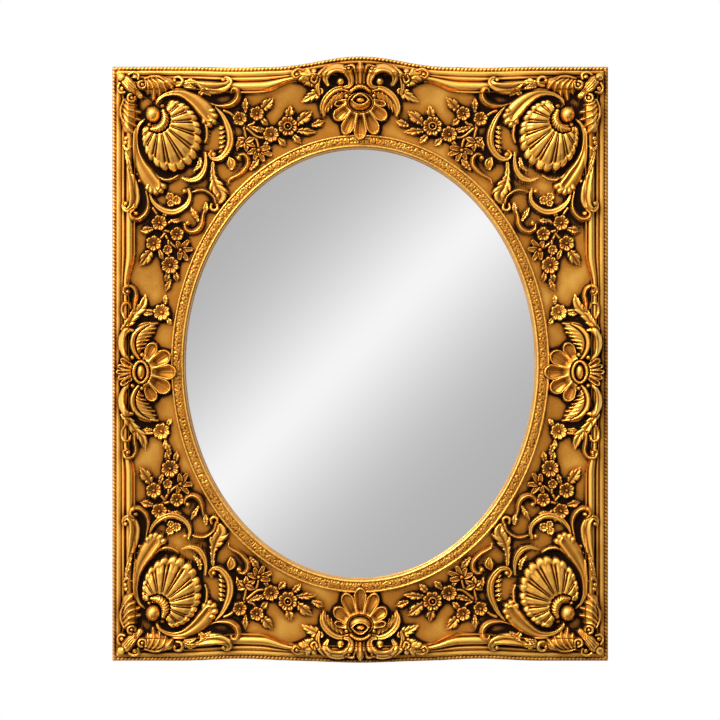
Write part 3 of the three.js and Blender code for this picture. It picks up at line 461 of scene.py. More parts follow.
    def flower(self, centre: Point, radius: float, petals: int = 6, turn: float = 0.3, rise: float = 6.2,
               ringed: bool = False) -> None:
        """Carves a flower of cupped petals round an eye.

        Args:
            centre: Its middle.
            radius: How far its petals reach.
            petals: Number of petals.
            turn: Angle of the first petal.
            rise: Height of the petals' edges.
            ringed: True for a raised ring round the eye.
        """
        spot = self._window(np.array(centre) - radius - TRENCH, np.array(centre) + radius + TRENCH)
        dx, dy = self.across[spot[1]][None, :] - centre[0], self.down[spot[0]][:, None] - centre[1]
        rho, theta = np.hypot(dx, dy), np.arctan2(dy, dx) - turn
        wave = np.abs(np.cos(petals * theta / 2))
        frill = np.abs(np.cos(petals * theta))
        q = rho / (radius * (0.76 + 0.22 * wave**0.5 + 0.05 * frill))
        cup = 0.34 + 0.66 * np.clip(q, 0, 1) ** 2.4
        height = rise * cup * (1 - 0.5 * (1 - wave) ** 3.2) * np.clip(1 - q**12, 0, 1) ** 0.5
        height = height * (1 - 0.16 * np.exp(-((wave - 1) / 0.03) ** 2))
        eye = radius * (0.15 if ringed else 0.2)
        knob = rise * 1.05 * np.clip(1 - (rho / eye) ** 2, 0, 1) ** 0.5
        height = np.where(rho < eye * 1.5, np.maximum(knob, 0.3 * rise), height)
        if ringed:
            ring = np.clip(1 - (rho - radius * 0.36) ** 2, 0, 1) ** 0.5
            height = np.maximum(height, rise * ring)
        self._merge(spot, height, (q - 1) * radius * 0.8, np.full(q.shape, rise))

    def fan(self, hinge: Point, bounds: Sequence[float], tips: Sequence[float], rise: float,
            start: float) -> None:
        """Carves a fan of hollow petals that share their rims.

        Args:
            hinge: Where the petals spring from.
            bounds: Angles between the petals, rising.
            tips: How far each petal reaches.
            rise: Height of the rims.
            start: Distance from the hinge where the hollows begin.
        """
        x, y = np.meshgrid(self.across, self.down)
        dx, dy = x - hinge[0], y - hinge[1]
        middle = (bounds[0] + bounds[-1]) / 2
        rho = np.hypot(dx, dy)
        theta = np.mod(np.arctan2(dy, dx) - middle + np.pi, 2 * np.pi) - np.pi + middle
        k = np.clip(np.searchsorted(np.array(bounds), theta, "right") - 1, 0, len(tips) - 1)
        low, high = np.array(bounds)[k], np.array(bounds)[k + 1]
        t = (theta - low) / (high - low)
        inside = (t >= 0) & (t <= 1)
        bow = np.clip(np.sin(np.pi * np.clip(t, 0, 1)), 0, 1)
        edge = np.array(tips)[k] * (0.74 + 0.26 * bow**0.62)
        share = rho / edge
        inside &= share < 1
        off = np.minimum(t, 1 - t) * (high - low) * rho
        rim = np.exp(-((off / 1.5) ** 2)) + np.exp(-((((1 - share) * edge - 1.6) / 1.3) ** 2))
        rib = 0.05 * np.exp(-(((t - 0.5) * (high - low) * rho / 0.8) ** 2))
        hollow = 0.64 * bow**0.8 * ease(rho, start, start + 9) * (1 - np.clip(rim, 0, 1))
        slit = 0.4 * np.exp(-((off / 0.5) ** 2)) * ease(share, 0.62, 0.95)
        height = rise * (1 - hollow + rib * ease(rho, start, start + 12) - slit)
        height = height * np.clip((1 - share) * edge / 0.9, 0, 1) ** 0.5
        outside = np.where(inside, -1.0, np.maximum((share - 1) * edge, 0.01))
        beside = np.maximum(np.minimum(np.abs(t), np.abs(t - 1)) * rho * 0.5, outside)
        outside = np.where((t < 0) | (t > 1), beside, outside)
        self._merge((slice(None), slice(None)), np.where(inside, height, 0), outside, np.full(x.shape, rise))

    def leaf(self, base: Point, tip: Point, width: float, rise: float = 4.4) -> None:
        """Carves a pointed leaf with a midrib.

        Args:
            base: Where it springs from.
            tip: Where it ends.
            width: Its breadth.
            rise: Its height.
        """
        middle = ((base[0] + tip[0]) / 2, (base[1] + tip[1]) / 2)
        half = width * 0.56
        widths = [half * 0.4, half * 0.95, half, half * 0.85, half * 0.55, 0.5]
        self.stroke([base, middle, tip], widths, rise, Section.LEAF, lobes=4, notch=0.34)

    def fronds(self, lines: Sequence[Sequence[Point]], half: float, rise: float) -> None:
        """Carves a leaf of joined blades, on a bed that runs through their middles.

        Args:
            lines: Root, middle and tip of each blade.
            half: Half width of a blade.
            rise: Height of the blades.
        """
        self.stroke([line[1] for line in lines], [half * 1.6, half * 2.2, half * 1.6], rise * 0.7)
        for line in lines:
            self.stroke(line, [half * 0.8, half * 1.5, half * 1.4, half * 0.5], rise, Section.CREASED,
                        blend=True)

    def sample(self, across: Array, down: Array) -> Array:
        """Heights at places, 0 outside the grid."""
        return grid_sample(self.height, self.across[0], self.down[0], self.pitch, across, down)


def grid_sample(values: Array, x0: float, y0: float, pitch: float, x: Array, y: Array,
                outside: float = 0.0) -> Array:
    """Values of a grid between its points.

    Args:
        values: The grid.
        x0: Place of its first column.
        y0: Place of its first row.
        pitch: Its spacing.
        x: Places across it.
        y: Places along its rows' order.
        outside: Value beyond its edges.

    Returns:
        The value at each place.
    """
    cx, cy = (x - x0) / pitch, (y - y0) / pitch
    ok = (cx >= 0) & (cy >= 0) & (cx <= values.shape[1] - 1) & (cy <= values.shape[0] - 1)
    cx, cy = np.clip(cx, 0, values.shape[1] - 1.001), np.clip(cy, 0, values.shape[0] - 1.001)
    i, j = cx.astype(int), cy.astype(int)
    fx, fy = cx - i, cy - j
    mixed = ((values[j, i] * (1 - fx) + values[j, i + 1] * fx) * (1 - fy)
             + (values[j + 1, i] * (1 - fx) + values[j + 1, i + 1] * fx) * fy)
    return np.where(ok, mixed, outside)


def blurred(values: Array, radius: float) -> Array:
    """Values spread evenly round each cell.

    Args:
        values: The grid.
        radius: Spread of the bell, in cells.

    Returns:
        The blurred grid.
    """
    reach = int(radius * 3) + 1
    kernel = np.exp(-0.5 * (np.arange(-reach, reach + 1) / radius) ** 2)
    kernel /= kernel.sum()
    out = values
    for axis in (0, 1):
        pads = [(0, 0), (0, 0)]
        pads[axis] = (reach, reach)
        wide = np.pad(out, pads, mode="edge")
        out = np.apply_along_axis(lambda line: np.convolve(line, kernel, mode="valid"), axis, wide)
    return out


def patina_and_painted_light_of(relief: Array, pitch: float) -> Array:
    """Age of the gilding over a relief: umber patina in its hollows, darkened further as painted shade, and
    crests lightened as burnish and painted highlight.
    """
    # Painted light: hollows, below the blurred relief, darken as painted shade; crests, above it, lighten as
    # painted highlight.
    near, far = blurred(relief, 1.5 / pitch) - relief, blurred(relief, 5.0 / pitch) - relief
    return np.clip(0.36 + 0.21 * near + 0.085 * far, 0, 1)


# ---------------------------------------------------------------- drawings of the carving

SHELL_HINGE, SHELL_MIDDLE, SHELL_RADII = (57.0, 67.0), (70.0, 81.5), (34.5, 41.5)
SHELL_FROM, SHELL_TO, SHELL_RIBS, SHELL_RISE = -1.16, 2.86, 11, 11.5
ROUND, CREASED, RIMMED, LEAF, SPOON = Section


def carve_shell(relief: Carving) -> None:
    """Carves the scallop shell of a corner: ribs that fan from a hub to a lobed rim."""
    x, y = np.meshgrid(relief.across, relief.down)
    dx, dy = x - SHELL_HINGE[0], y - SHELL_HINGE[1]
    rho, theta = np.hypot(dx, dy), np.arctan2(dy, dx)
    theta = np.where(theta < SHELL_FROM - 0.25, theta + 2 * np.pi, theta)
    cos, sin = np.cos(theta), np.sin(theta)
    px = (SHELL_HINGE[0] - SHELL_MIDDLE[0]) / SHELL_RADII[0]
    py = (SHELL_HINGE[1] - SHELL_MIDDLE[1]) / SHELL_RADII[1]
    ux, uy = cos / SHELL_RADII[0], sin / SHELL_RADII[1]
    a, b, e = ux**2 + uy**2, 2 * (px * ux + py * uy), px**2 + py**2 - 1
    reach = (-b + np.sqrt(np.maximum(b**2 - 4 * a * e, 0))) / (2 * a)
    phase = (theta - SHELL_FROM) / (SHELL_TO - SHELL_FROM) * SHELL_RIBS
    lobe = phase - np.floor(phase)
    wave = np.abs(np.sin(np.pi * lobe))
    frill = np.abs(np.sin(2 * np.pi * lobe))
    edge = reach * (0.925 + 0.03 * wave**0.5 + 0.055 * frill**0.5)
    share = rho / edge
    off = np.minimum(lobe, 1 - lobe)
    fade = ease(rho, 11, 17) * (1 - ease(share, 0.8, 0.88))
    grooves = np.exp(-(((off - 0.13) / 0.062) ** 2)) * fade
    swell = np.interp(share, [0, 0.12, 0.45, 0.7, 0.84, 0.9, 0.96, 1.0],
                      [0.72, 0.86, 0.94, 0.84, 0.66, 0.68, 0.6, 0.3])
    between = 0.5 * np.exp(-((off / 0.07) ** 2)) + np.exp(-(((np.abs(lobe - 0.5)) / 0.05) ** 2))
    between = between * ease(share, 0.86, 0.95)
    height = SHELL_RISE * swell * (1 - 0.3 * grooves - 0.17 * between) + 1.3 * wave * ease(rho, 8, 24)
    inside = (share < 1) & (phase > -0.02) & (phase < SHELL_RIBS + 0.02)
    fan = np.where(inside, height, 0)
    outside = np.where(inside, -1.0, np.clip((share - 1) * edge, 0.01, 50))
    gap = np.clip(outside / 2.0, 0, 1)
    under = relief.height * np.where(outside < 2.0, 1 - 0.9 * (1 - gap), 1)
    relief.height = np.where(inside, np.maximum(relief.height * 0.3, fan), under)


def carve_corner(relief: Carving) -> None:
    """Carves a corner: shell, cartouche of scrolls and leaves, palmette and hooks."""
    # Leaves that frame the shell, lowest first
    relief.stroke([(101, 21), (108, 25), (118, 27), (128, 26), (135, 23), (138, 18), (134.5, 14.5),
        (130, 16)], [1, 4, 5.5, 5, 4, 2.5, 2, 1.8], 5.2, LEAF)
    relief.round_form((130.5, 16.5), (2.6, 2.6), 4.6)
    relief.stroke([(20, 120), (24, 132), (26.5, 145), (27, 157), (24, 165), (18, 168.5), (14, 165),
        (14, 160.5)], [1.5, 3.5, 5, 5, 3.5, 2.2, 2, 1.8], 5.2, LEAF)
    relief.round_form((16.5, 161), (2.6, 2.6), 4.6)
    for leaf, size in ((((101, 37), (106, 30), (115, 34)), 3.6), (((83, 22), (92, 19), (100, 20)), 4.2),
                       (((86, 25), (93, 25), (98, 27)), 2.8), (((17, 101), (20, 112), (24, 126)), 3.0),
                       (((14, 93), (18, 98), (24, 94)), 2.0), (((103, 108), (102, 115), (96, 122)), 3.4)):
        relief.stroke(leaf, [size * 0.5, size, size * 0.3], 4.2, LEAF, lobes=4)
    for spot in ((17, 85), (16, 90), (31, 126), (33, 134)):
        relief.round_form(spot, (2.6, 2.6), 3.4)
    # Loop with a knob between the palmette and the leaf
    relief.stroke([(73, 16), (75, 13.5), (80, 13.5), (83, 18), (81, 23), (76, 24)],
        [1.2, 1.5, 1.7, 1.8, 1.6, 1.2], 4.2)
    relief.round_form((73.5, 17.5), (2.4, 2.4), 4)
    # Palmette in the very corner
    relief.stroke([(17, 18), (22, 24), (28, 30), (33, 35)], [6.0, 5.6, 4.4, 3.4], 5.6, ROUND, flutes=5)
    relief.stroke([(20, 10), (25, 7.5), (31, 10), (31, 15.5)], [1.3, 1.7, 1.7, 1.3], 4.4)
    relief.stroke([(9.5, 20), (7.5, 25), (10, 31), (15.5, 31)], [1.3, 1.7, 1.7, 1.3], 4.4)
    relief.round_form((11, 13), (4.8, 4.8), 5.2)
    relief.round_form((27, 12.5), (3, 3), 4.6)
    relief.round_form((11.5, 26.6), (3, 3), 4.6)
    # Frilled leaves that curl from the palmette
    relief.fronds([((57, 14), (66, 20), (72, 28)), ((52, 14), (61, 22), (64, 33)),
        ((47, 14.5), (55, 24), (56, 38)), ((43, 16), (49, 26), (48, 39)), ((40, 18), (43, 25), (42, 32))],
        3.4, 5.4)
    relief.stroke([(39, 15), (48, 12.5), (56, 13), (62, 17)], [1.6, 2.2, 2.2, 1.0], 4.8, CREASED)
    relief.fronds([((13, 62), (19, 72), (27, 80)), ((13, 56), (20, 66), (30, 71)),
        ((13, 50), (21, 59), (33, 63)), ((14, 45), (22, 52), (33, 54)), ((16, 41), (21, 45), (28, 46))], 3.4,
        5.4)
    relief.stroke([(14.5, 40), (11, 49), (11, 58), (14, 66)], [1.6, 2.2, 2.2, 1.0], 4.8, CREASED)
    for spot in ((36.3, 22.7), (24, 38)):
        ring = [(spot[0] + 4.2 * math.cos(t), spot[1] + 4.2 * math.sin(t)) for t in np.linspace(-0.4, 4.6, 9)]
        relief.stroke(ring, [1.0, 1.5, 1.8, 1.6], 5.4)
        relief.round_form(spot, (2.4, 2.4), 4.8)
    # Hooks towards the middle of each side
    relief.stroke([(113, 42.5), (122, 46), (131, 46.5), (140, 44.5), (146, 39), (147.5, 33), (145, 27.5),
        (141, 27.5), (139.5, 31)], [0.8, 1.5, 2.5, 3.5, 4, 3.5, 2.5, 1.5, 1.2], 6, CREASED)
    relief.stroke([(39, 140), (41, 150), (42.5, 160), (41.5, 168), (37, 175), (30, 179), (24, 177),
        (22.5, 172), (26, 168.5)], [0.8, 1.5, 2, 2.8, 3, 3.2, 2.2, 1.8, 1.5], 6, CREASED)
    relief.round_form((28.5, 172), (2.5, 2.5), 5)
    # Scrolls below and beside the cartouche
    relief.stroke([(109, 101), (109.3, 112), (107, 122), (101, 130), (92, 133), (82, 130.5)],
        [1.2, 2, 3, 3.5, 2.5, 1], 5.6, RIMMED, side=-1)
    relief.stroke([(118, 112), (117.5, 120), (118.5, 130), (122, 141), (127, 151), (123.5, 160)],
        [1.8, 2.2, 3.4, 8.0, 8.2, 1.8], 5.6, LEAF, lobes=6, notch=0.3)
    relief.stroke([(94, 147), (100, 145), (108, 145), (114, 148), (119, 153), (121, 159), (122.5, 164)],
        [1.2, 2, 2, 2, 2, 2, 1.4], 4.6, CREASED)
    relief.stroke([(116, 161), (115.5, 166), (119, 168.3), (123, 166), (122.8, 161.5)],
        [1.3, 1.7, 1.7, 1.7, 1.3], 4.6)
    relief.stroke([(109, 166), (106, 175), (105, 183), (100, 191), (92, 193.5), (85.5, 189), (85, 184.5)],
        [1.5, 2, 3, 3.5, 3, 2.2, 1.8], 5.6, CREASED)
    relief.round_form((88.5, 183), (2.8, 2.8), 5)
    relief.leaf((100.7, 180), (92, 165), 6, 4.6)
    relief.leaf((110, 160), (109, 171), 6, 4.4)
    relief.stroke([(149, 103.5), (153, 102.5), (158, 107), (158.5, 114), (154, 121), (147, 127), (141, 130),
        (137, 133), (136, 137)], [2, 2.2, 2.8, 3, 2.8, 2.2, 2, 1.8, 1.5], 5.2, CREASED)
    relief.round_form((148, 107), (3, 3), 5)
    relief.stroke([(137, 107), (139.5, 113), (139, 119)], [1, 5, 2], 4.6, SPOON)
    for spot, size in (((68, 152.5), 5.0), ((75.5, 156.5), 5.4), ((68.5, 160), 4.2)):
        relief.flower(spot, size, 5, 0.4 + size, 4.4)
    for down in (72, 77.5, 83, 88.5, 94, 99):
        relief.leaf((131.5, down - 1.5), (124.5, down + 1.5), 4, 3.6)
    # Pair of scrolls that close the cartouche
    relief.stroke([(121, 48), (128, 56), (134, 67), (138, 80), (137.5, 92), (132, 102), (124, 108),
        (117, 107), (114.5, 103), (116.5, 99.5)], [0.8, 2, 3.2, 4, 4, 3.6, 3, 2.4, 2, 1.5], 6.6, RIMMED,
        side=-1)
    relief.round_form((118.8, 103), (3, 3), 6)
    relief.stroke([(44, 149), (48, 158), (55, 165), (64, 169.5), (73, 170), (82, 166), (89, 159), (91, 151),
        (89, 144)], [0.8, 2, 3, 3.5, 3.5, 3.2, 2.6, 2, 1.5], 6.6, RIMMED, side=1)
    relief.round_form((85, 146), (2.7, 2.7), 5.4)
    # Thin ribbon round the shell
    relief.stroke([(92, 42), (100, 50), (106, 59), (109, 66), (111, 75), (111, 83), (109, 89)],
        [1.3, 1.6, 1.6, 1.2], 6.4)
    relief.stroke([(50, 125), (55, 130), (63, 133), (70, 132), (77, 128)], [1.2, 1.6, 1.6, 1.0], 6.4)
    # Long leaves that grow round the shell
    relief.stroke([(40, 61.5), (33, 67), (29, 76), (28, 90), (29.5, 102), (34, 115), (41, 127), (50, 140)],
        [1, 1.6, 2.2, 2.8, 4.0, 6.4, 9, 9.2], 8, RIMMED, side=-1)
    for tip in ((42, 142.5), (46, 146), (51.5, 147.5), (57, 145.5), (60.5, 140.5)):
        relief.stroke([tuple(np.array((45, 130)) * 0.45 + np.array(tip) * 0.55), tip], [2.2, 3.3], 6.2, ROUND,
            blend=True)
    relief.stroke([(58, 51), (53, 46), (54, 40), (60, 35), (70, 31.5), (80, 31.5), (95, 39), (107, 50),
        (114, 59)], [1.3, 1.6, 1.8, 2.0, 3.0, 4.4, 7.0, 9.2, 8.4], 8, RIMMED, side=1)
    for tip in ((117.5, 52.5), (120.5, 58.5), (119, 65), (114, 68.5), (108, 65)):
        relief.stroke([tuple(np.array((106, 52)) * 0.45 + np.array(tip) * 0.55), tip], [2.2, 3.3], 6.2, ROUND,
            blend=True)
    relief.round_form((59, 46.8), (2.7, 2.7), 7)
    # Shell, its ribbed collar, and the boss over its hinge
    carve_shell(relief)
    relief.round_form((44, 69), (2.6, 2.6), 9)
    relief.stroke([(60.5, 53), (63, 61), (61, 68.5), (55, 73.5), (47, 74.5)], [2.8, 5.2, 5.8, 5.2, 2.8], 13.6,
        ROUND, lobes=11, notch=0.2)
    relief.round_form((48.5, 57), (8.8, 9.8), 14.0, turn=-0.35)


def carve_end_spray(relief: Carving) -> None:
    """Carves the flowers beside a corner along the top or bottom."""
    for stem in ([(155.5, 72), (153.5, 67), (150, 63)], [(157, 73), (160, 69), (165, 67), (169, 60)],
                 [(157, 72), (165, 79), (170, 89), (171.5, 97)], [(154.5, 72), (156, 80), (157, 86)],
                 [(163, 72), (175, 73), (184, 77)], [(188, 80), (197, 76), (205, 71)],
                 [(148, 61), (142, 58), (138, 55), (131, 52)], [(158, 73), (172, 83), (185, 82)]):
        relief.stroke(stem, [1.7, 1.5, 1.5], 2.8)
    for base, tip, width in (((156, 53), (156, 37), 7), ((174, 53), (189, 37), 12), ((174, 61), (182, 69), 7),
                             ((162, 71), (178, 77), 7), ((206, 62), (209, 46), 10),
                             ((216, 67), (234, 53), 13),
                             ((216, 75), (239, 77), 9), ((211, 80), (221, 90), 8), ((195, 85), (203, 93), 8),
                             ((182, 87), (178, 95), 5.5), ((148, 86), (146, 98), 5),
                             ((162, 120), (172, 108), 8),
                             ((235, 69), (248, 64), 9)):
        relief.leaf(base, tip, width)
    for tip in ((160.5, 101), (167, 107), (176.5, 109), (185, 103), (183, 95)):
        relief.stroke([(171.5, 97), tuple((np.array((171.5, 97)) + np.array(tip)) / 2), tip], [1.4, 3.2, 2.2],
            4.4, SPOON)
    relief.round_form((171.5, 98), (2.6, 2.6), 4.8)
    for tip in ((148, 84), (149, 93), (157, 98), (166, 93), (165.5, 84)):
        relief.stroke([(157, 88), tuple((np.array((157, 88)) + np.array(tip)) / 2), tip], [1.6, 3.2, 1.2],
            4.2, LEAF)
    relief.flower((149.5, 61.5), 8.4, 6, 0.2)
    relief.flower((169.5, 55.5), 8.4, 6, 0.7)
    relief.flower((186, 79.5), 9.4, 8, 0.1)
    relief.flower((205.5, 70), 11.6, 8, 0.35, 6.4, ringed=True)


def carve_side_spray(relief: Carving) -> None:
    """Carves the flowers beside a corner along a side."""
    for stem in ([(58, 187), (61, 194), (65, 202), (70, 208), (78, 213)], [(66, 204), (66, 218), (68, 230)],
                 [(49, 207), (57, 201), (62, 195)], [(62, 192), (69, 194), (76, 196)],
                 [(48, 166), (52, 172), (55, 178)],
                 [(70, 180), (64, 184), (58, 184)]):
        relief.stroke(stem, [1.6, 1.5, 1.5], 2.8)
    for base, tip, width in (((70, 181), (81, 180), 5.5), ((47, 190), (34, 193), 9),
                             ((47, 214), (33, 234), 13),
                             ((55, 214), (60, 227), 6), ((66, 241), (63, 252), 7), ((74, 241), (76, 252), 7),
                             ((68, 250), (62, 264), 7), ((60, 178), (63, 170), 5)):
        relief.leaf(base, tip, width)
    for tip in ((77, 206), (88, 205), (92, 214), (87, 225), (79, 224)):
        relief.stroke([(80, 214), tuple((np.array((80, 214)) + np.array(tip)) / 2), tip], [1.4, 3.1, 2.2],
            4.4, SPOON)
    relief.round_form((80, 214.5), (2.5, 2.5), 4.8)
    relief.flower((76, 196), 8.2, 5, 0.9)
    relief.flower((65, 214.5), 5.8, 5, 0.4, 4.0)
    relief.flower((55.5, 183), 9.2, 6, 0.2)
    relief.flower((49, 207), 9.2, 6, 0.6)
    relief.flower((68, 232.5), 10.4, 8, 0.3, 6.4)


def carve_side(relief: Carving) -> None:
    """Carves the ornament in the middle of a side: x towards the glass and y down."""
    for f in (1, -1):
        def at(points: Sequence[Point]) -> list[Point]:
            """The points, or their mirror in the upper half."""
            return [(p[0], p[1] * f) for p in points]

        relief.leaf(*at([(28, 80), (28, 90)]), 6, 3.6)
        relief.leaf(*at([(12, 68), (2, 68)]), 6, 3.6)
        relief.leaf(*at([(30, 63), (35, 55)]), 6, 3.6)
        relief.stroke(at([(-6, 68), (5, 72), (16, 71)]), [1.6, 1.5], 3)
        relief.stroke(at([(-22, 50), (-14, 57), (-8, 66), (2, 78), (5, 90)]), [2, 4.5, 5.5, 5.5, 1], 5.4,
            LEAF, lobes=5, notch=0.3)
        relief.stroke(at([(-18, 62), (-22, 70), (-20, 79), (-14, 80), (-12, 74)]), [1.4, 2, 2.2, 1.8, 1.2],
            4.8, CREASED)
        relief.stroke(at([(-8, 72), (-7, 84), (-6, 90), (-7, 95), (-12, 100), (-18, 99), (-20, 93),
            (-16, 90)]), [2, 3, 2.6, 2.4, 2.4, 2, 1.8, 1.4], 5.2, CREASED)
        relief.round_form(at([(-14.5, 93.5)])[0], (2.4, 2.4), 4.6)
        relief.stroke(at([(-3, 20), (-5, 32), (0, 42), (7, 50), (15, 55)]), [2.4, 5.4, 6.6, 5.4, 1.6], 5.6)
        for base, middle, tip in (((-8, 45), (2, 53.5), (19, 57)), ((-9, 41.5), (4, 48.5), (16.5, 51)),
                                  ((-9.5, 38), (2, 44), (15, 46)), ((-9.5, 34), (0, 39.5), (11, 42)),
                                  ((-9, 30), (-2, 35.5), (8.5, 37.5)), ((-8, 26), (-3, 31), (6, 33)),
                                  ((-6, 22), (-2.5, 27), (3, 28))):
            relief.stroke(at([base, middle, tip]), [2.6, 4.0, 1.5], 6.0, CREASED, blend=True)
        relief.stroke(at([(-1, 14), (-7, 22), (-10, 32), (-8, 43), (-1, 51), (9, 56)]),
            [1.4, 2.4, 3.0, 3.0, 2.4, 0.9], 7.4)
        relief.stroke(at([(-13, 14), (-20, 22), (-22.5, 32), (-21, 42), (-16, 48.5), (-9.5, 48.5)]),
            [1.4, 2.8, 3.8, 3.9, 3.4, 1.8], 6.8)
        relief.flower(at([(23.7, 69.5)])[0], 9.8, 8, 0.2, 6.4)
    relief.fan((0, 0), [np.pi + t for t in (-0.74, -0.40, -0.13, 0.13, 0.40, 0.74)],
        [28.5, 28.5, 29.5, 28.5, 28.5], 6.8, 9)
    relief.fan((-1, 0), [-1.36, -0.86, -0.28, 0.28, 0.86, 1.36], [38.5, 41.5, 43, 41.5, 38.5], 8.2, 13)
    for spot in ((-10, -17), (1, -20), (-10, 16), (1, 19)):
        relief.round_form(spot, (3, 3), 6)
    ring = [(8.2 * math.cos(t), 12.0 * math.sin(t)) for t in np.linspace(0, 2 * np.pi, 21)]
    relief.stroke(ring, [2.3], 9.4, ROUND, lobes=22, notch=0.12)
    relief.round_form((0, 0), (5.4, 9.8), 9.4)


def carve_end(relief: Carving, top: bool) -> None:
    """Carves the ornament in the middle of the top or bottom, with y towards the glass.

    Args:
        relief: Grid to carve on.
        top: True for the top's, False for the bottom's, whose outer half is drawn in.
    """
    inward = 1.0 if top else 0.86

    def at(points: Sequence[Point], f: int) -> list[Point]:
        """The points on one side, with what lies outside drawn in at the bottom."""
        return [(p[0] * f, p[1] if p[1] > 0 else p[1] * inward) for p in points]

    for f in (1, -1):
        relief.stroke(at([(46, -12), (53, -8), (60, -4), (68, 1)], f), [3.5, 6.0, 4.6, 0.8], 4.8, LEAF,
            lobes=4)
        relief.stroke(at([(50, -18), (58, -26), (67, -30), (76, -28)], f), [3, 9, 8.5, 2], 5.0, LEAF, lobes=6,
            notch=0.3)
        relief.stroke(at([(66, -36), (73, -37), (78.5, -32), (75, -26), (70.5, -29)], f),
            [1.4, 2.2, 2.4, 2, 1.3], 5.2, CREASED)
        relief.round_form(at([(74, -31.5)], f)[0], (2.6, 2.6), 4.8)
        relief.round_form(at([(54, -35)], f)[0], (3.4, 3.0), 4.6)
        relief.stroke(at([(20, -41), (28, -42), (35, -40), (45, -33), (49, -25), (50, -17), (48, -8)], f),
            [1.2, 2.2, 2.8, 3.2, 3.0, 2.8, 1.6], 5.6, RIMMED, side=f)
        relief.stroke(at([(50, -27), (53, -21.5), (57, -24), (55, -28.5)], f), [1.3, 1.7, 1.6, 1.2], 4.8)
        for tip in ((25, 1.5), (29.5, 4.5), (34, 8), (38, 12), (42, 17.5)):
            relief.stroke(at([(tip[0] - 8, -10), (tip[0] - 1.5, (tip[1] - 8) / 2), tip], f), [2.6, 3.3, 1.2],
                5.2, CREASED)
        relief.stroke(at([(12, -6), (13, -11), (20, -15), (28, -13.5), (37, -7), (42.5, 1), (44.5, 8),
            (42.5, 17)], f), [1.6, 2.0, 2.8, 3.2, 3.4, 3.4, 2.8, 1.0], 7.0, RIMMED, side=-f)
        relief.round_form(at([(16, -6)], f)[0], (3, 3), 5.6)
        relief.stroke(at([(38, -19), (41, -27), (37, -34), (28, -38), (18, -36), (12, -29), (10.5, -22),
            (13, -17), (18, -16)], f), [1.8, 3.8, 4.8, 5.2, 5.2, 4.6, 3.6, 2.8, 1.8], 7.6, RIMMED, side=-f)
        relief.round_form(at([(23, -23)], f)[0], (4.4, 4.4), 6)
        relief.stroke(at([(4, -20), (5, -33), (9, -41), (17, -40)], f), [1.6, 2.2, 2.6, 1.6], 6.6, CREASED)
        relief.round_form(at([(13.5, -37.5)], f)[0], (2.3, 2.3), 6)
    relief.stroke(at([(0, -16), (0, -28), (0, -38), (0, -46)], 1), [3.2, 4.0, 5.0, 1.0], 7.6, CREASED)
    relief.fan((0, -4), [0.105, 0.437, 0.943, 1.371, 1.771, 2.199, 2.705, 3.037],
        [32, 40, 47, 50, 47, 40, 32], 8.0, 15)
    ring = [(13.4 * math.cos(t), 1.5 + 10.2 * math.sin(t)) for t in np.linspace(0, 2 * np.pi, 25)]
    relief.stroke(ring, [1.6], 6.4)
    relief.round_form((0, 1.5), (13.2, 10.4), 10.4)
    for lid in (-7.5, 6.0):
        brow = -0.5 + lid * 0.72
        relief.stroke([(-10, -0.5), (-5, brow), (0, -0.5 + lid), (5, brow), (10, -0.5)], [1.3], 12.0,
            blend=True)
    relief.stroke(at([(-10.5, -11.5), (-5, -15.6), (0, -16.6), (5, -15.6), (10.5, -11.5)], 1),
        [2.2, 2.6, 2.2], 9.6, ROUND, lobes=7, notch=0.2)
    relief.round_form((0, -0.8), (6.4, 3.6), 11.6)


# ---------------------------------------------------------------- finishes


@dataclass(frozen=True)
class GildedFinish:
    """Old water gilding over a dark ground.

    Attributes:
        name: Name of the material.
        leaf: Linear colour of the gold.
        burnish_and_highlight: Linear colour where it is rubbed and burnished, which also stands as a painted
            highlight on the crests.
        recess_and_shade: Linear colour in the depths: umber patina darkened into painted shade.
        roughness: Roughness of open gold.
        metallic: How metallic the gold is.
        dust_roughness: Roughness in the depths.
        unevenness: How far the fine grain changes the roughness.
        coat: Weight of the size that seals it.
        grain: Strength of the fine grain's bumps.
        grain_depth: Depth of the grain in metres.
    """

    name: str
    leaf: Colour
    burnish_and_highlight: Colour
    recess_and_shade: Colour
    roughness: float = 0.3
    metallic: float = 0.92
    dust_roughness: float = 0.8
    unevenness: float = 0.16
    coat: float = 0.04
    grain: float = 0.22
    grain_depth: float = 0.0006

    def build(self) -> bpy.types.Material:
        """Makes the material from the age mask, which paints shade into the depths and highlight onto the
        crests, and fine brush marks.
        """
        material, tree, shader = new_material(self.name)
        age = tree.nodes.new("ShaderNodeGroup")
        age.node_tree = age_and_light_group()
        # Painted highlight on the crests, then umber patina and painted shade in the depths.
        gold = mix_colour(tree, age.outputs["Worn"], self.leaf, self.burnish_and_highlight)
        patinated_and_shaded = mix_colour(tree, age.outputs["Recess"], gold, self.recess_and_shade)
        tree.links.new(patinated_and_shaded, shader.inputs["Base Color"])
        shader.inputs["Coat Weight"].default_value = self.coat
        shader.inputs["Coat Roughness"].default_value = 0.2
        shader.inputs["Metallic"].default_value = self.metallic
        rough = map_value(tree, age.outputs["Recess"], self.roughness, self.dust_roughness)
        uneven = math_node(tree, "MULTIPLY_ADD", age.outputs["Grain"], self.unevenness, rough)
        tree.links.new(uneven, shader.inputs["Roughness"])
        bump = tree.nodes.new("ShaderNodeBump")
        bump.inputs["Strength"].default_value = self.grain
        bump.inputs["Distance"].default_value = self.grain_depth
        tree.links.new(age.outputs["Grain"], bump.inputs["Height"])
        tree.links.new(bump.outputs["Normal"], shader.inputs["Normal"])
        return material


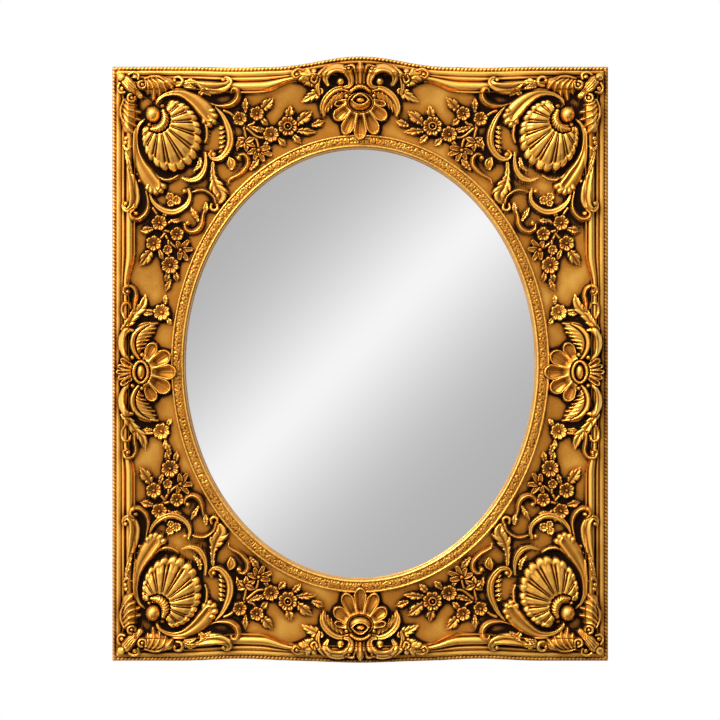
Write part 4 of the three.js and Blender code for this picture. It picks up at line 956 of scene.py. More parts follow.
@dataclass(frozen=True)
class PlainFinish:
    """One even surface with slight mottling.

    Attributes:
        name: Name of the material.
        colour: Linear colour.
        roughness: Roughness.
        metallic: How metallic it is.
        mottling: How far the colour darkens in spots.
        scale: Spots to the metre.
        stretch: How far the spots are drawn out along x.
    """

    name: str
    colour: Colour
    roughness: float
    metallic: float = 0.0
    mottling: float = 0.2
    scale: float = 60.0
    stretch: float = 1.0

    def build(self) -> bpy.types.Material:
        """Makes the material with its noise."""
        material, tree, shader = new_material(self.name)
        noise = noise_node(tree, self.scale, (1 / self.stretch, 1, 1))
        dark = tuple(v * (1 - self.mottling) for v in self.colour)
        tree.links.new(mix_colour(tree, noise, self.colour, dark), shader.inputs["Base Color"])
        shader.inputs["Metallic"].default_value = self.metallic
        shader.inputs["Roughness"].default_value = self.roughness
        return material


def new_material(name: str) -> tuple[bpy.types.Material, Tree, bpy.types.Node]:
    """Material with a Principled shader on its output.

    Args:
        name: Its name.

    Returns:
        The material, its node tree and the shader.
    """
    material = bpy.data.materials.new(name)
    material.use_nodes = True
    return material, material.node_tree, material.node_tree.nodes["Principled BSDF"]


def noise_node(tree: Tree, scale: float, stretch: Colour = (1, 1, 1), detail: float = 4.0) -> Socket:
    """Noise over object coordinates.

    Args:
        tree: Node tree to add to.
        scale: Spots to the metre.
        stretch: Scale along x, y and z.
        detail: Number of finer layers.

    Returns:
        Noise from 0 to 1.
    """
    place = tree.nodes.new("ShaderNodeTexCoord")
    mapping = tree.nodes.new("ShaderNodeMapping")
    mapping.inputs["Scale"].default_value = stretch
    noise = tree.nodes.new("ShaderNodeTexNoise")
    noise.inputs["Scale"].default_value = scale
    noise.inputs["Detail"].default_value = detail
    tree.links.new(place.outputs["Object"], mapping.inputs["Vector"])
    tree.links.new(mapping.outputs["Vector"], noise.inputs["Vector"])
    return noise.outputs["Fac"]


def set_or_link(tree: Tree, socket: Socket, value: object) -> None:
    """Feeds an input.

    Args:
        tree: Node tree that holds it.
        socket: The input.
        value: Socket to link, or a plain colour or number to set.
    """
    if isinstance(value, bpy.types.NodeSocket):
        tree.links.new(value, socket)
    elif isinstance(value, tuple):
        socket.default_value = (*value, 1.0)
    else:
        socket.default_value = value


def math_node(tree: Tree, operation: str, first: Socket, second: object, third: object = 0.0) -> Socket:
    """One step of arithmetic on a socket.

    Args:
        tree: Node tree to add to.
        operation: Name of the operation.
        first: Socket that it works on.
        second: Second socket or number.
        third: Third socket or number, where the operation takes one.

    Returns:
        The result.
    """
    node = tree.nodes.new("ShaderNodeMath")
    node.operation = operation
    tree.links.new(first, node.inputs[0])
    set_or_link(tree, node.inputs[1], second)
    set_or_link(tree, node.inputs[2], third)
    return node.outputs[0]


def mix_colour(tree: Tree, factor: Socket, first: object, second: object) -> Socket:
    """Colour between two colours or sockets.

    Args:
        tree: Node tree to add to.
        factor: 0 for the first colour, 1 for the second.
        first: Colour or socket.
        second: Colour or socket.

    Returns:
        The mixed colour.
    """
    mix = tree.nodes.new("ShaderNodeMix")
    mix.data_type = "RGBA"
    tree.links.new(factor, mix.inputs["Factor"])
    set_or_link(tree, mix.inputs[6], first)
    set_or_link(tree, mix.inputs[7], second)
    return mix.outputs[2]


def map_value(tree: Tree, value: Socket, low: float, high: float, start: float = 0.0,
              end: float = 1.0) -> Socket:
    """Value stretched from one range to another and kept inside it.

    Args:
        tree: Node tree to add to.
        value: The value.
        low: Result at the start.
        high: Result at the end.
        start: Value at the start.
        end: Value at the end.

    Returns:
        The stretched value.
    """
    node = tree.nodes.new("ShaderNodeMapRange")
    node.inputs["From Min"].default_value, node.inputs["From Max"].default_value = start, end
    node.inputs["To Min"].default_value, node.inputs["To Max"].default_value = low, high
    tree.links.new(value, node.inputs["Value"])
    return node.outputs["Result"]


# Ages between which the depths darken with patina and painted shade, and the crests turn bright with burnish
# and painted highlight
RECESS_AND_SHADE_AGES, WORN_AND_HIGHLIGHT_AGES = (0.66, 0.94), (0.26, 0.62)


def age_and_light_group() -> Tree:
    """Shared masks of the gilding, from the age stored on the mesh, which carries painted shade and painted
    highlight too.

    Returns:
        Group with a mask of patina and painted shade in the depths, a mask of worn crests with painted
        highlight, and a fine grain.
    """
    if "GildingAge" in bpy.data.node_groups:
        return bpy.data.node_groups["GildingAge"]
    group = bpy.data.node_groups.new("GildingAge", "ShaderNodeTree")
    for name in ("Recess", "Worn", "Grain"):
        group.interface.new_socket(name, in_out="OUTPUT", socket_type="NodeSocketFloat")
    out = group.nodes.new("NodeGroupOutput")
    painted = group.nodes.new("ShaderNodeAttribute")
    painted.attribute_name = "patina"
    broad, fine = noise_node(group, 45.0), noise_node(group, 700.0, detail=3.0)
    clouded = math_node(group, "MULTIPLY_ADD", broad, 0.30, painted.outputs["Fac"])
    speckled = math_node(group, "MULTIPLY_ADD", fine, 0.16, clouded)
    group.links.new(map_value(group, speckled, 0, 1, *RECESS_AND_SHADE_AGES), out.inputs["Recess"])
    group.links.new(map_value(group, speckled, 1, 0, *WORN_AND_HIGHLIGHT_AGES), out.inputs["Worn"])
    group.links.new(fine, out.inputs["Grain"])
    return group


# Colours of each: the leaf, the burnish with painted highlight, and the umber patina with painted shade.
GILT = GildedFinish("gilt", (0.50, 0.184, 0.018), (1.0, 0.55, 0.10), (0.018, 0.005, 0.001))
DARK_GILT = GildedFinish("dark_gilt", (0.29, 0.098, 0.010), (0.84, 0.39, 0.065), (0.016, 0.004, 0.001), 0.34)
GLASS = PlainFinish("silvered_glass", (0.9, 0.9, 0.9), 0.015, 1.0, 0.0)
FELT = PlainFinish("felt", (0.022, 0.018, 0.015), 0.95)
BOARD = PlainFinish("board", (0.30, 0.17, 0.085), 0.8, 0.0, 0.35, 40.0, 0.08)
STEEL = PlainFinish("steel", (0.55, 0.54, 0.52), 0.34, 1.0, 0.25, 90.0)
PAD = PlainFinish("wall_pad", (0.035, 0.033, 0.031), 0.9)


# ---------------------------------------------------------------- meshes


def primitive_object(name: str, call: Callable[[], object]) -> bpy.types.Object:
    """Runs a primitive operator with nothing else selected.

    Args:
        name: Name for what it makes.
        call: Runs the operator.

    Returns:
        What it made.
    """
    bpy.ops.object.select_all(action="DESELECT")
    call()
    made = bpy.context.object
    made.name = made.data.name = name
    return made


def lattice(name: str, places: Array, patina: Array | None = None, keep: Array | None = None,
            wrap: bool = False, inward: bool = False) -> bpy.types.Object:
    """Grid primitive with its points moved to given places.

    Args:
        name: Name of the object.
        places: Rows by columns by (x, y, h) in millimetres on the face of the frame.
        patina: Age of the gilding at each place, with painted shade in the hollows and painted highlight on
            the crests.
        keep: Which places stay; the rest are deleted.
        wrap: True where the last column or row meets the first.
        inward: True to turn the faces over.

    Returns:
        The object, smooth and with its places in world metres.
    """
    rows, columns = places.shape[:2]
    made = primitive_object(name, lambda: bpy.ops.mesh.primitive_grid_add(
        x_subdivisions=columns - 1, y_subdivisions=rows - 1, size=1))
    mesh = made.data
    if len(mesh.vertices) != rows * columns:
        raise ValueError(f"{name}: grid has {len(mesh.vertices)} points and not {rows * columns}")
    world = np.stack([places[..., 0], -(STANDOFF + places[..., 2]), places[..., 1]], axis=-1) * MM
    mesh.vertices.foreach_set("co", world.reshape(-1).astype(np.float32))
    if patina is not None:
        # Stored attribute: age of the gilding, with painted shade in the hollows and painted highlight on the
        # crests.
        layer = mesh.attributes.new("patina", "FLOAT", "POINT")
        layer.data.foreach_set("value", patina.reshape(-1).astype(np.float32))
    body = bmesh.new()
    body.from_mesh(mesh)
    if keep is not None:
        body.verts.ensure_lookup_table()
        dropped = [body.verts[i] for i in np.flatnonzero(~keep.reshape(-1))]
        bmesh.ops.delete(body, geom=dropped, context="VERTS")
        loose = [v for v in body.verts if not v.link_faces]
        bmesh.ops.delete(body, geom=loose, context="VERTS")
    if wrap:
        bmesh.ops.remove_doubles(body, verts=body.verts, dist=1e-6)
    if inward:
        bmesh.ops.reverse_faces(body, faces=body.faces)
    body.to_mesh(mesh)
    body.free()
    for polygon in mesh.polygons:
        polygon.use_smooth = True
    mesh.update()
    LOG.info("%s: %d triangles", name, sum(len(p.vertices) - 2 for p in mesh.polygons))
    return made


def give(piece: bpy.types.Object, materials: Materials, slot: str, body: str, node: str) -> None:
    """Dresses a piece, ties it to its body and names the solid it stands for.

    Args:
        piece: The piece.
        materials: Materials by finish.
        slot: Finish that it takes, and its slot in the record.
        body: Body that it rides on.
        node: Solid that it replaces.
    """
    piece.data.materials.clear()
    piece.data.materials.append(materials[slot])
    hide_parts(node)
    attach(piece, body)
    LOG.info("%s stands for %s on %s in %s", piece.name, node, body, slot)


def grown(mask: Array) -> Array:
    """The mask with its edge moved out by one cell."""
    wide = np.pad(mask, 1)
    parts = (slice(0, -2), slice(1, -1), slice(2, None))
    return np.logical_or.reduce([wide[rows, columns] for rows in parts for columns in parts])


@dataclass
class Ornament:
    """A carved piece seated on the frame.

    Attributes:
        name: Name of the piece and of the solid that it stands for.
        carving: Its relief.
        place: Turns the drawing's coordinates into places on the face.
        finish: Its gilding.
        darker: Added to the age of its gilding.
        base: Thickness under the carving.
        tuck: How deep its edge goes into the ground.
    """

    name: str
    carving: Carving
    place: Placer
    finish: GildedFinish
    darker: float = 0.0
    base: float = 0.3
    tuck: float = 0.8

    def build(self, materials: Materials) -> None:
        """Makes the carved sheet, tucked into the ground at its edge, and dresses it.

        Args:
            materials: Materials by finish.
        """
        relief = self.carving
        across, down = np.meshgrid(relief.across, relief.down)
        x, y = self.place(across, down)
        mask = relief.height > CARVED_FROM
        skirt = grown(mask)
        ground = ground_height(x, y, True)
        height = np.where(mask, ground + self.base + relief.height, ground - self.tuck)
        turned = (x[0, -1] > x[0, 0]) == (y[-1, 0] > y[0, 0])
        # Age of the carving's gilding, with painted shade in its hollows and painted highlight on its crests.
        age = np.clip(patina_and_painted_light_of(relief.height, relief.pitch) + self.darker, 0, 1)
        piece = lattice(f"carved_{self.name}", np.stack([x, y, height], axis=-1), age, skirt, inward=turned)
        give(piece, materials, self.finish.name, "frame", self.name)


def corner_placer(right: int, top: int, drop: float = 0.0) -> Placer:
    """Places drawn from an outer corner of the frame."""
    return lambda u, v: (right * (HALF_WIDTH - u), top * (HALF_HEIGHT - (v - drop)))


def side_placer(right: int) -> Placer:
    """Places drawn from the boss in the middle of a side."""
    return lambda a, d: (right * (HALF_WIDTH - SIDE_BOSS_IN - a), -SIDE_BOSS_BELOW - d)


def end_placer(top: int) -> Placer:
    """Places drawn from the bowl in the middle of the top or bottom."""
    return lambda a, d: (a, top * (HALF_HEIGHT - END_BOWL_IN - d))


class Carver:
    """Draws every ornament once and seats its copies."""

    def __init__(self) -> None:
        """Draws the carvings."""
        self.corner = Carving((3, 3), (163, 198))
        carve_corner(self.corner)
        self.end_spray = Carving((128, 32), (250, 124))
        carve_end_spray(self.end_spray)
        self.side_spray = Carving((30, 162), (96, 268))
        carve_side_spray(self.side_spray)
        self.side = Carving((-32, -104), (44, 104))
        carve_side(self.side)
        self.ends = {1: Carving((-82, -52), (82, 50)), -1: Carving((-82, -46), (82, 50))}
        for top, carving in self.ends.items():
            carve_end(carving, top > 0)

    def ornaments(self) -> list[Ornament]:
        """Seats every ornament.

        Returns:
            The ornaments with their places on the frame.
        """
        made = []
        for vertical, top in (("top", 1), ("bottom", -1)):
            made.append(Ornament(f"ornament_{vertical}", self.ends[top], end_placer(top), GILT))
            for horizontal, right in (("left", -1), ("right", 1)):
                place = corner_placer(right, top)
                made.append(Ornament(f"corner_{vertical}_{horizontal}", self.corner, place, GILT))
                made.append(Ornament(f"spray_{vertical}_{horizontal}", self.end_spray, place, DARK_GILT,
                                     0.05))
                made.append(Ornament(f"side_spray_{vertical}_{horizontal}", self.side_spray,
                                     corner_placer(right, top, LOWER_DROP if top < 0 else 0.0), DARK_GILT,
                                     0.05))
        for horizontal, right in (("left", -1), ("right", 1)):
            made.append(Ornament(f"ornament_{horizontal}", self.side, side_placer(right), GILT))
        return made

    def relief_at(self, x: Array, y: Array) -> Array:
        """Height of the carving above its ground.

        Args:
            x: Places to the right of the middle.
            y: Places above the middle.

        Returns:
            Heights, 0 where nothing is carved.
        """
        u, v = HALF_WIDTH - np.abs(x), HALF_HEIGHT - np.abs(y)
        shift = np.where(y < 0, LOWER_DROP, 0.0)
        bowl = HALF_HEIGHT - END_BOWL_IN
        return np.maximum.reduce([
            self.corner.sample(u, v), self.end_spray.sample(u, v), self.side_spray.sample(u, v + shift),
            self.side.sample(HALF_WIDTH - SIDE_BOSS_IN - np.abs(x), -SIDE_BOSS_BELOW - y),
            np.where(y > 0, self.ends[1].sample(x, bowl - y), self.ends[-1].sample(x, bowl + y))])


# ---------------------------------------------------------------- frame surfaces

# Heights below this belong to the sides and back, whose gilding has one even age
FRONT_FROM, BACK_AGE = 20.6, 0.36


class Face:
    """Relief of the whole front on a coarse grid, for the age of the gilding on plain surfaces, with painted
    shade in hollows and near the carving.
    """

    PITCH, REACH_X, LOW_Y, HIGH_Y, BEYOND = 1.0, 296.0, -356.0, 366.0, 0.42

    def __init__(self, carver: Carver) -> None:
        """Samples the ground and all carving.

        Args:
            carver: Holds the carving.
        """
        x, y = np.meshgrid(np.arange(-self.REACH_X, self.REACH_X + 0.5, self.PITCH),
                           np.arange(self.LOW_Y, self.HIGH_Y + 0.5, self.PITCH))
        outside = (np.abs(x) > HALF_WIDTH) | (y > top_edge(x)) | (y < bottom_edge(x))
        relief = carver.relief_at(x, y)
        crests, ground = ground_height(x, y, True), ground_height(x, y, False)
        height = np.where(relief > CARVED_FROM, crests + relief, ground)
        height = np.where(outside, OPENING_LEVEL, height)
        # Hollows darken as patina and painted shade, crests lighten as painted highlight.
        near, wide = blurred(height, 1.8) - height, blurred(height, 6.5) - height
        # Painted shade: the plain ground darkens where carving crowds it.
        crowd = blurred((relief > CARVED_FROM).astype(float), 5.2)
        cloud = np.sin(x / 17.0 + 2.1 * np.sin(y / 31.0)) * np.sin(y / 21.0 + 1.7 * np.sin(x / 27.0))
        painted_shade_near_carving = 0.72 * np.maximum(crowd - 0.08, 0)
        self.age = np.clip(0.27 + 0.09 * cloud + 0.17 * near + 0.085 * wide + painted_shade_near_carving, 0, 1)

    def at(self, x: Array, y: Array) -> Array:
        """Age of the gilding at places on the face, with its painted shade and highlight."""
        return grid_sample(self.age, -self.REACH_X, self.LOW_Y, self.PITCH, x, y, self.BEYOND)


class Edge(Enum):
    """Edge of the frame that a side runs along."""

    TOP = "top"
    RIGHT = "right"
    BOTTOM = "bottom"
    LEFT = "left"


@dataclass
class Side:
    """One side of the frame.

    Attributes:
        edge: Which edge it runs along.
        mitre_gap: Half the gap at a mitre.
    """

    edge: Edge
    mitre_gap: float = 0.2

    def is_end(self) -> bool:
        """Whether it is the top or the bottom."""
        return self.edge in (Edge.TOP, Edge.BOTTOM)

    def half(self) -> float:
        """Half the length along the outer edge."""
        return HALF_WIDTH if self.is_end() else HALF_HEIGHT

    def at(self, along: Array, inward: Array) -> tuple[Array, Array]:
        """Place on the face.

        Args:
            along: Distances along the side.
            inward: Distances in from its edge.

        Returns:
            Places to the right of the middle, and above it.
        """
        if self.edge is Edge.TOP:
            return along, top_edge(along) - inward
        if self.edge is Edge.BOTTOM:
            return -along, bottom_edge(along) + inward
        if self.edge is Edge.RIGHT:
            return HALF_WIDTH - inward, -along
        return -HALF_WIDTH + inward, along

    def band(self, along: Array) -> Array:
        """Width of the moulding at a distance along the side."""
        return end_band(along) if self.is_end() else side_band(along)

    def sweep(self, name: str, section: Callable[[Array], tuple[Array, Array]], step: float, face: Face,
              pattern: Callable[[Array, Array], tuple[Array, Array]] | None = None) -> bpy.types.Object:
        """Sweeps a closed outline from mitre to mitre, with closed ends.

        Args:
            name: Name of the object.
            section: Gives the outline's distances inward and heights, one row for each band width.
            step: Spacing along the side.
            face: Where the age of the gilding, with its painted shade and highlight, is looked up.
            pattern: Adds (height, age) for places (along, inward); the age may hold painted shade.

        Returns:
            The swept object.
        """
        count = int(2 * self.half() / step)
        share = np.linspace(-1, 1, count)[:, None]
        rough = share * (self.half() - 10)
        inward, height = section(self.band(rough))
        along = share * (self.half() - inward - self.mitre_gap)
        x, y = self.at(along, inward)
        # Age of the gilding from the face, with its painted shade and highlight.
        age = np.where(height > FRONT_FROM, face.at(x, y), BACK_AGE)
        if pattern is not None:
            raised, age_and_light_change = pattern(along, inward)
            height, age = height + raised, np.clip(age + age_and_light_change, 0, 1)
        places = np.stack([x, y, height], axis=-1)
        caps = [row.mean(axis=1, keepdims=True).repeat(row.shape[1], 1) for row in (places[:1], places[-1:])]
        places = np.concatenate([caps[0], places, caps[1]])
        age = np.concatenate([age[:1], age, age[-1:]])
        made = lattice(name, places, age, wrap=True)
        outward_faces(made)
        return made


def outward_faces(piece: bpy.types.Object, sharp: float = 50.0) -> None:
    """Turns the faces of a closed piece outward and keeps its hard edges crisp.

    Args:
        piece: The piece.
        sharp: Angle in degrees from which an edge is hard.
    """
    body = bmesh.new()
    body.from_mesh(piece.data)
    bmesh.ops.recalc_face_normals(body, faces=body.faces)
    body.to_mesh(piece.data)
    body.free()
    select_only(piece)
    bpy.ops.object.shade_smooth_by_angle(angle=math.radians(sharp))


def select_only(piece: bpy.types.Object, *others: bpy.types.Object) -> None:
    """Selects pieces and makes the first one active.

    Args:
        piece: Piece to make active.
        others: Pieces to select with it.
    """
    bpy.ops.object.select_all(action="DESELECT")
    for chosen in (piece, *others):
        chosen.select_set(True)
    bpy.context.view_layer.objects.active = piece


def rail_outline(band: Array) -> tuple[Array, Array]:
    """Closed outline of a rail.

    Args:
        band: Widths of the moulding.

    Returns:
        Distances inward and heights, one row for each width.
    """
    shares, heights = MOULDED[::4, 0], MOULDED[::4, 1]
    fixed = np.ones((len(band), 1))
    lead_in = [0, 0, 5.3, 5.3, 6.0, 7.0, 9.2, 9.8]
    lead_height = [0, 20.5, 20.5, 26.4, 27.1, 27.4, 27.3, 26.9]
    tail_height = [29.2, 8, 8, 0, 0]
    moulded = FILLET_END + shares[None, :] * (band - FILLET_END)
    tail_in = np.concatenate([band, band, band + 10, band + 10, 0 * band], axis=1)
    inward = np.concatenate([np.array([lead_in]) * fixed, moulded, tail_in], axis=1)
    height = np.array([[*lead_height, *heights, *tail_height]]) * fixed
    return inward, height


def strip_outline(band: Array) -> tuple[Array, Array]:
    """Closed outline of the edge strip, the same for every band width.

    Args:
        band: Widths of the moulding.

    Returns:
        Distances inward and heights, one row for each width.
    """
    half, base, round_from, rise = 2.5, 20.8, 22.8, 2.5
    angles = np.linspace(np.pi, 0, 11)
    inward = [0.0, *(half + half * np.cos(angles)), 2 * half, 0.0]
    height = [base, *(round_from + rise * np.sin(angles) ** 0.8), base, base]
    ones = np.ones((len(band), 1))
    return np.array([inward]) * ones, np.array([height]) * ones


def rope(along: Array, inward: Array) -> tuple[Array, Array]:
    """Slanted beads along the outer edge.

    Args:
        along: Distances along the side.
        inward: Distances in from its edge.

    Returns:
        What to add to the height, and to the age: darker between the beads with dust and painted shade, and
        uneven.
    """
    spacing, slant = 4.4, 0.11
    wave = np.abs(np.sin(np.pi * (along / spacing + slant * inward)))
    front = np.zeros_like(along)
    front[:, 2:11] = 1.0
    uneven = 0.5 + 0.5 * np.sin(along * 0.61 + 2.0 * np.sin(along * 0.083))
    # Between the beads the gilding darkens: dust and painted shade in the grooves.
    return front * (-1.25 * (1 - wave**0.55)), 0.30 * (1 - wave**0.8) + 0.06 * uneven


def burnished(along: Array, inward: Array) -> tuple[Array, Array]:
    """Brighter gilding along the mouldings, where hands and cloths reach."""
    return np.zeros_like(along), -0.10 + 0.03 * np.sin(along * 0.045 + inward * 0.3)


def scatter(seed: Array, spread: float) -> Array:
    """Uneven numbers from 0 to 1 that depend only on the seed."""
    return np.mod(np.sin(seed) * spread, 1.0)


def pebbled(along: Array, across: Array, size: float = 2.0) -> Array:
    """Uneven rounded grains.

    Args:
        along: Distance round the ring.
        across: Distance over its band.
        size: Spacing of the grains.

    Returns:
        Height of the grains, from -1 between them to 1 on top.
    """
    girth = 2 * math.pi * RING_MEAN
    round_count = math.floor(girth / size)
    a, b = np.broadcast_arrays(along / girth * round_count, across / size)
    nearest = np.full(a.shape, 9.0)
    for i in (-1, 0, 1):
        for j in (-1, 0, 1):
            cell_a, cell_b = np.floor(a) + i, np.floor(b) + j
            seed = np.mod(cell_a, round_count) * 12.9898 + cell_b * 78.233
            shift_a, shift_b = scatter(seed, 43758.5453), scatter(seed * 1.7 + 3.1, 24634.6345)
            nearest = np.minimum(nearest, np.hypot(a - cell_a - shift_a, b - cell_b - shift_b))
    return 1 - 2 * np.clip(nearest / 0.8, 0, 1) ** 1.3


# Closed outline of the sight ring: distance outside the sight edge, and height
RING_PROFILE = np.array([
    (12, 8.3), (12, 23.3), (15.7, 23.3), (15.8, 25.4), (15.6, 26.4), (15.0, 27.0), (14.2, 27.0), (13.6, 26.4),
    (13.3, 25.6), (12.9, 25.2), (12.3, 25.3), (11.5, 25.5), (10.7, 25.6), (9.9, 25.7), (9.1, 25.7),
    (8.3, 25.7),
    (7.5, 25.6), (6.7, 25.5), (5.9, 25.3), (5.1, 25.1), (4.5, 24.9), (4.1, 25.0), (3.8, 25.7), (3.4, 26.4),
    (2.8, 26.8), (2.1, 26.7), (1.5, 26.2), (1.0, 25.2), (0.7, 24.0), (0.45, 22.6), (0.2, 20.4), (0.0, 18.4),
    (0.3, 17.95), (7, 17.95), (7, 8.3), (12, 8.3)])


@dataclass
class Woodwork:
    """Rails, edge strips, coved panel and sight ring.

    Attributes:
        face: Where the age of the gilding, with its painted shade and highlight, is looked up.
        materials: Materials by finish.
        rail_step: Spacing of the points along a rail.
        rope_step: Spacing of the points along an edge strip.
        panel_gap: Gap between the panel and the rails.
        panel_rays: Points round the panel.
        panel_rows: Points from the oval to the rails.
        ring_rays: Points round the ring.
        band: Where the ring's pebbled band lies, outside the sight edge.
        beads: Where its bead lines lie.
        hollows: Where the grooves beside the bead lines lie.
        pebble: Height of a pebble.
        bead_pitch: Spacing of the beads' notches.
    """

    face: Face
    materials: Materials
    rail_step: float = 3.0
    rope_step: float = 0.75
    panel_gap: float = 0.3
    panel_rays: int = 901
    panel_rows: int = 58
    ring_rays: int = 1901
    band: Point = (4.7, 12.8)
    beads: tuple[Point, Point] = ((1.2, 3.7), (13.5, 15.7))
    hollows: Point = (4.4, 13.1)
    pebble: float = 0.6
    bead_pitch: float = 2.2

    def rails(self) -> None:
        """Sweeps the four rails and the roped strips on their edges."""
        for edge in Edge:
            side, name = Side(edge), edge.value
            rail = side.sweep(f"moulding_{name}", rail_outline, self.rail_step, self.face, burnished)
            give(rail, self.materials, "gilt", "frame", f"rail_{name}")
            strip = side.sweep(f"rope_{name}", strip_outline, self.rope_step, self.face, rope)
            give(strip, self.materials, "dark_gilt", "frame", f"edge_strip_{name}")

    def panel(self) -> None:
        """Builds the coved panel as rays from the oval to the rails, front and back."""
        angles = np.linspace(0, 2 * np.pi, self.panel_rays)[:, None]
        cos, sin = np.cos(angles), np.sin(angles)
        start = 1 / np.hypot(cos / (SIGHT_X + PANEL_START), sin / (SIGHT_Y + PANEL_START))
        low, high = start.copy(), np.full_like(start, 470.0)
        for _ in range(40):
            middle = (low + high) / 2
            inward, band = nearest_band(cos * middle, sin * middle)
            inside = inward > band + self.panel_gap
            low, high = np.where(inside, middle, low), np.where(inside, high, middle)
        reach = start + (low - start) * np.linspace(0, 1, self.panel_rows)[None, :]
        x, y = cos * reach, sin * reach
        front = np.stack([x, y, cove_height(x, y)], axis=-1)
        back = np.stack([x[:, [-1, 0]], y[:, [-1, 0]], np.full((len(x), 2), PANEL_BACK)], axis=-1)
        places = np.concatenate([front, back, front[:, :1]], axis=1)
        # Age of the gilding from the face, with its painted shade near the carving.
        age = np.where(places[..., 2] > FRONT_FROM, self.face.at(places[..., 0], places[..., 1]), BACK_AGE)
        made = lattice("coved_panel", places, age, wrap=True)
        outward_faces(made)
        give(made, self.materials, "gilt", "frame", "spandrel_panel")

    def ring(self) -> None:
        """Builds the sight ring: two bead lines with a pebbled band between them, and the neck behind."""
        angles = np.linspace(0, 2 * np.pi, self.ring_rays)[:, None]
        nx, ny = np.cos(angles) / SIGHT_X, np.sin(angles) / SIGHT_Y
        size = np.hypot(nx, ny)
        outward, height = RING_PROFILE[:, 0][None, :], RING_PROFILE[:, 1][None, :]
        x = SIGHT_X * np.cos(angles) + outward * nx / size
        y = SIGHT_Y * np.sin(angles) + outward * ny / size
        pebbles = pebbled(angles * RING_MEAN, outward)
        front = height > 24.5
        banded = (outward < self.band[1]) & (outward > self.band[0]) & front
        beaded = np.logical_or.reduce([(outward > low) & (outward < high) & front for low,
                                       high in self.beads])
        notch = 1 - np.abs(np.sin(angles * RING_MEAN / self.bead_pitch)) ** 0.6
        raised = np.where(banded, self.pebble * pebbles, 0) - np.where(beaded, 0.15 * notch, 0)
        # Grain tops and beads lighten as burnish and painted highlight; gaps, notches and the grooves beside
        # the beads darken with dust and painted shade.
        age = np.where(banded, 0.38 - 0.26 * pebbles, 0.24)
        hollow = sum(np.exp(-(((outward - place) / 0.45) ** 2)) for place in self.hollows)
        age = np.clip(age + 0.22 * hollow + np.where(beaded, 0.15 * notch - 0.22, 0), 0, 1)
        places = np.stack([x, y, height + raised + 0 * x], axis=-1)
        made = lattice("sight_beading", places, age + 0 * x, wrap=True)
        outward_faces(made)
        give(made, self.materials, "gilt", "frame", "sight_ring")


@dataclass
class Mirror:
    """Domed glass, silvered on its back.

    Attributes:
        materials: Materials by finish.
        covered: Width of the rim under the ring.
        front: Height of the rim's front.
        back: Height of the rim's back.
        dome: How far the middle stands out from the rim.
        rings: Points from the middle to the rim, in front and behind.
        rays: Points round the rim.
    """

    materials: Materials
    covered: float = 6.7
    front: float = 16.9
    back: float = 13.9
    dome: float = 12.0
    rings: tuple[int, int] = (40, 12)
    rays: int = 289

    def build(self) -> None:
        """Builds the glass as one closed dome."""
        ahead, behind = self.rings
        share = np.concatenate([np.linspace(0, 1, ahead), np.linspace(1, 0, behind)])[None, :]
        base = np.concatenate([np.full(ahead, self.front), np.full(behind, self.back)])[None, :]
        angles = np.linspace(0, 2 * np.pi, self.rays)[:, None]
        x = (SIGHT_X + self.covered) * share * np.cos(angles)
        y = (SIGHT_Y + self.covered) * share * np.sin(angles)
        height = base + self.dome * (1 - share**2) + 0 * x
        made = lattice("domed_mirror", np.stack([x, y, height], axis=-1), wrap=True)
        outward_faces(made)
        give(made, self.materials, "silvered_glass", "frame", "mirror_glass")


# ---------------------------------------------------------------- hardware


def revolved(name: str, profile: Sequence[Point], sides: int = 48) -> bpy.types.Object:
    """Turned piece about its own middle, closed at the poles.

    Args:
        name: Its name.
        profile: Radius and height of each point of its outline.
        sides: Points round it.

    Returns:
        The piece.
    """
    angles = np.linspace(0, 2 * np.pi, sides + 1)[:, None]
    radius, height = np.array(profile)[:, 0][None, :], np.array(profile)[:, 1][None, :]
    places = np.stack([radius * np.cos(angles), radius * np.sin(angles), height + 0 * angles], axis=-1)
    made = lattice(name, places, wrap=True)
    outward_faces(made, 35.0)
    return made


def placed_copy(model: bpy.types.Object, name: str, place: Place, turn: float = 0.0) -> bpy.types.Object:
    """Copy with its own mesh, turned about its middle and moved.

    Args:
        model: Piece to copy.
        name: Name of the copy.
        place: Where it goes: x, y and height.
        turn: How far it is turned.

    Returns:
        The copy.
    """
    copy = model.copy()
    copy.data = model.data.copy()
    copy.name = copy.data.name = name
    bpy.context.scene.collection.objects.link(copy)
    x, y, height = place
    copy.data.transform(Matrix.Rotation(-turn, 4, "Y"))
    copy.data.transform(Matrix.Translation((x * MM, -height * MM, y * MM)))
    return copy


def middle_of(node: str) -> Point:
    """Middle of a solid on the face."""
    low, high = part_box(node)
    return (low.x + high.x) / 2 / MM, (low.z + high.z) / 2 / MM


def body_of_node(node: str) -> str:
    """Body that a solid belongs to."""
    bodies = frame["record"]["behaviour"]["bodies"]
    return next(body for body, nodes in bodies.items() if node in nodes)


def nodes_with(word: str) -> list[str]:
    """Names of the solids that hold a word, in order."""
    return [node for node in sorted(frame["nodes"]) if word in node]


